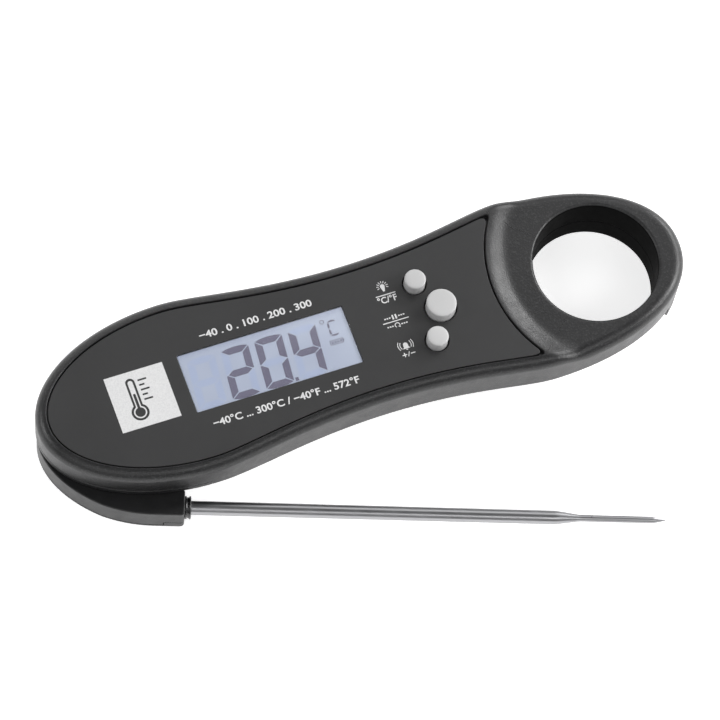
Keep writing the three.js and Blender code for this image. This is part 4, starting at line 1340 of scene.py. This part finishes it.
# The wall of the ring's hole: painted shade, darker and with almost no shine, for the shade down in the hole.
HOLE_PAINTED_SHADE = moulded_plastic("hole_painted_shade", (0.004, 0.004, 0.004), (0.007, 0.007, 0.007),
                             0.6, 0.34, 0.02, shine=0.01)
PLATE_GREY = moulded_plastic("plate_grey", (0.021, 0.021, 0.0215), (0.025, 0.025, 0.0255),
                             0.5, 0.22, 0.008, worn=SCUFF_AND_GLINT)
KEY_GREY = moulded_plastic("key_grey", (0.47, 0.47, 0.47), (0.53, 0.53, 0.53),
                           0.4, 0.4, 0.016, worn=(0.5, 0.5, 0.5))
WHITE_PLASTIC = moulded_plastic("white_plastic", (0.7, 0.7, 0.67), (0.78, 0.78, 0.76), 0.48, 0.4, 0.01)
BLACK_PLASTIC = moulded_plastic("black_plastic", (0.01, 0.01, 0.011), (0.018, 0.018, 0.019), 0.5, 0.25, 0.015)
RUBBER = moulded_plastic("rubber", (0.012, 0.012, 0.013), (0.022, 0.022, 0.022), 0.78, 0.5, 0.02)
RED_SLEEVE = moulded_plastic("red_sleeve", (0.32, 0.025, 0.02), (0.4, 0.04, 0.03), 0.5, 0.3, 0.006)
BRUSHED_STEEL = metal("brushed_steel", (0.33, 0.33, 0.34), (0.41, 0.41, 0.42), 0.32, 0.12,
                      (120, 1, 1), -OPEN_ANGLE, 0.001)
SCREW_STEEL = metal("screw_steel", (0.28, 0.28, 0.29), (0.42, 0.42, 0.43), 0.34, 0.15)
SPRING_STEEL = metal("spring_steel", (0.55, 0.55, 0.56), (0.68, 0.68, 0.68), 0.24, 0.12, (12, 1, 1))
BRASS = metal("brass", (0.55, 0.38, 0.14), (0.72, 0.52, 0.22), 0.3, 0.1, (1, 1, 14))
WHITE_INK = ink("white_ink", (0.7, 0.7, 0.7), (0.6, 0.6, 0.605))
# Each display layer's second colour is the tone of its painted shadow along the far edge and of its faint
# clouding.
DISPLAY_GREY = lit_display("display_grey", (0.34, 0.38, 0.47), (0.27, 0.3, 0.4), 0.35)
DISPLAY_INK = lit_display("display_ink", (0.14, 0.135, 0.195), (0.11, 0.105, 0.16), 0.2)
DISPLAY_GHOST = lit_display("display_ghost", (0.315, 0.365, 0.49), (0.25, 0.29, 0.41), 0.35)
CLEAR = clear_cover()
GLOSS_BLACK = gloss_black()
BOARD_GREEN = circuit_board()
LIGHT_GUIDE = milky("light_guide", (0.75, 0.8, 0.95), (0.65, 0.7, 0.9))
GLASS = milky("sensor_glass", (0.45, 0.6, 0.5), (0.35, 0.5, 0.42))

# ------------------------------------------------------------------ the parts that stay as the CAD has them

CAD_FINISHES = [
    (LIGHT_GUIDE, ["back_light"]),
    (WHITE_PLASTIC, ["display_holder", "battery_holder"]),
    (RUBBER, ["contact_strip", "cover_seal", "hub_seal"]),
    (BOARD_GREEN, ["circuit_board"]),
    (BLACK_PLASTIC, ["controller_chip", "buzzer", "temperature_sensor"]),
    (GLASS, ["reed_switch"]),
    (SPRING_STEEL, ["coin_battery", "positive_contact", "negative_contact", "wake_magnet"]),
    (SPRING_STEEL, ["pivot_washer", "pivot_clip", "detent_ball", "detent_spring"]),
    (SCREW_STEEL, BOARD_SCREWS),
    (BRASS, ["pivot_bush"]),
    (RED_SLEEVE, ["board_lead", "probe_lead"]),
]

for finish, nodes in CAD_FINISHES:
    for node in nodes:
        for material_slot in frame["nodes"][node].material_slots:
            material_slot.material = finish

# ------------------------------------------------------------------ assembly

for made, name, body, slot_name, finish, node in [
    (front_shell(), "front_case", "body", "shell", CHARCOAL, "front_shell"),
    (rear_shell(), "rear_case", "body", "shell", CHARCOAL, "rear_shell"),
    (face_plate(), "face", "body", "face", PLATE_GREY, "face_plate"),
    (lcd_panel(), "display_glass", "body", "display", DISPLAY_GREY, "lcd_panel"),
    (display_window(), "clear_window", "body", "window", CLEAR, "display_window"),
    (hub_body(), "hub_case", "hub", "shell", SHADED_HUB_CHARCOAL, "hub_body"),
    (hub_cover(), "hub_lid", "hub", "shell", SHADED_HUB_CHARCOAL, "hub_cover"),
]:
    finish_piece(made, name, body, finish, [node], flat=True)
# Painted shade on the wall of the ring's hole, in both halves of the case.
shade_hole_wall(bpy.data.objects["front_case"])
shade_hole_wall(bpy.data.objects["rear_case"])

finish_piece(probe_collar(), "collar", "hub", GLOSS_BLACK, ["probe_collar"], sharp=50)
finish_piece(probe_tube(), "probe", "hub", BRUSHED_STEEL, ["probe_tube"], sharp=40)
finish_piece(battery_cover(), "battery_door", "cover", CHARCOAL, ["battery_cover"], flat=True)

for key in BUTTONS:
    finish_piece(button_cap(key), f"{key}_cap", f"{key}_key", KEY_GREY, [f"{key}_button"], sharp=50)
    finish_piece(switch_piece(key), f"{key}_push_switch", "body", BLACK_PLASTIC,
                 [f"{key}_switch"], flat=True)

for i, node in enumerate(CASE_SCREWS, 1):
    made = screw(node, node_centre(node), 2.1, 0.95)
    finish_piece(made, f"case_fixing_{i}", "body", SCREW_STEEL, [node])
for i, place in enumerate(HUB_SCREWS, 1):
    node = f"hub_screw_{i}"
    made = turn_open(screw(node, place, 1.6, 0.55))
    finish_piece(made, f"hub_fixing_{i}", "hub", SCREW_STEEL, [node])

for name, made in [
    ("print_dial", text_object(*DIAL_TEXT, **INK)),
    ("print_units", text_object(*UNITS_TEXT, **INK)),
    ("print_labels", print_object(label_marks(), **INK)),
    ("print_square", square_and_icon()),
    ("print_range", text_object(*RANGE_TEXT, **INK)),
]:
    finish_piece(made, name, "body", WHITE_INK)

for name, loops, layer, finish in [
    ("display_digits", digit_loops(True), LCD_LAYER, DISPLAY_INK),
    ("display_ghost", digit_loops(False), GHOST_LAYER, DISPLAY_GHOST),
    ("display_signs", display_marks(), LCD_LAYER, DISPLAY_INK),
]:
    finish_piece(print_object(loops, **layer), name, "body", finish)

# ------------------------------------------------------------------ floor and light

FLOOR = {"half": 1.6, "z": -0.00005, "glow": 0.75}


def make_floor():
    """A pale floor in metres, just below the part."""
    mesh = bpy.data.meshes.new("floor")
    corners = rectangle(-FLOOR["half"], -FLOOR["half"], FLOOR["half"], FLOOR["half"])
    mesh.from_pydata([(*corner, FLOOR["z"]) for corner in corners], [], [(0, 1, 2, 3)])
    floor = link_object("floor", mesh)
    made, tree, shader = new_material("pale_floor")
    tint = mix_colours(tree, noise(tree, 60, 2), (0.86, 0.86, 0.86), (0.9, 0.9, 0.9))
    feed(tree, shader, {"Base Color": tint, "Emission Color": tint, "Emission Strength": FLOOR["glow"]})
    feed(tree, shader, {"Roughness": 0.7, "Specular IOR Level": 0.1})
    mesh.materials.append(made)


def softbox(name, direction, distance, size, brightness):
    """A rectangular light that faces the middle of the part, as bright as a white floor is at 1."""
    data = bpy.data.lights.new(name, "AREA")
    data.shape = "RECTANGLE"
    data.size, data.size_y = size
    data.energy = brightness * math.pi * size[0] * size[1]
    out = outwards(*direction)
    facing = out.to_track_quat("Z", "Y").to_matrix().to_4x4()
    link_object(name, data).matrix_world = Matrix.Translation(out * distance) @ facing


def make_world(horizon, zenith):
    world = bpy.data.worlds.new("studio")
    world.use_nodes = True
    tree = world.node_tree
    source = tree.nodes.new("ShaderNodeTexCoord").outputs["Generated"]
    split = add_node(tree, "ShaderNodeSeparateXYZ", {"Vector": source})
    height = remap(tree, split.outputs["Z"], 0.0, 0.8, 0, 1)
    tint = mix_colours(tree, height, (horizon, horizon, horizon * 1.01), (zenith, zenith, zenith * 1.02))
    feed(tree, tree.nodes["Background"], {"Color": tint})
    bpy.context.scene.world = world


make_floor()
make_world(0.3, 0.14)
softbox("key", (-135, 45), 2.0, (1.4, 1.4), 1.2)
softbox("front", (-72, 50), 1.6, (1.0, 0.4), 3.2)
softbox("right_front", (-16, 24), 1.5, (0.8, 0.5), 13)
softbox("right_back", (24, 24), 1.5, (0.8, 0.5), 9)
softbox("left", (158, 30), 1.5, (0.7, 0.5), 5)
softbox("back", (95, 22), 1.7, (1.6, 0.5), 2)
softbox("top", (61, 52), 1.6, (1.5, 0.8), 1.3)
bpy.context.scene.view_settings.view_transform = "Standard"
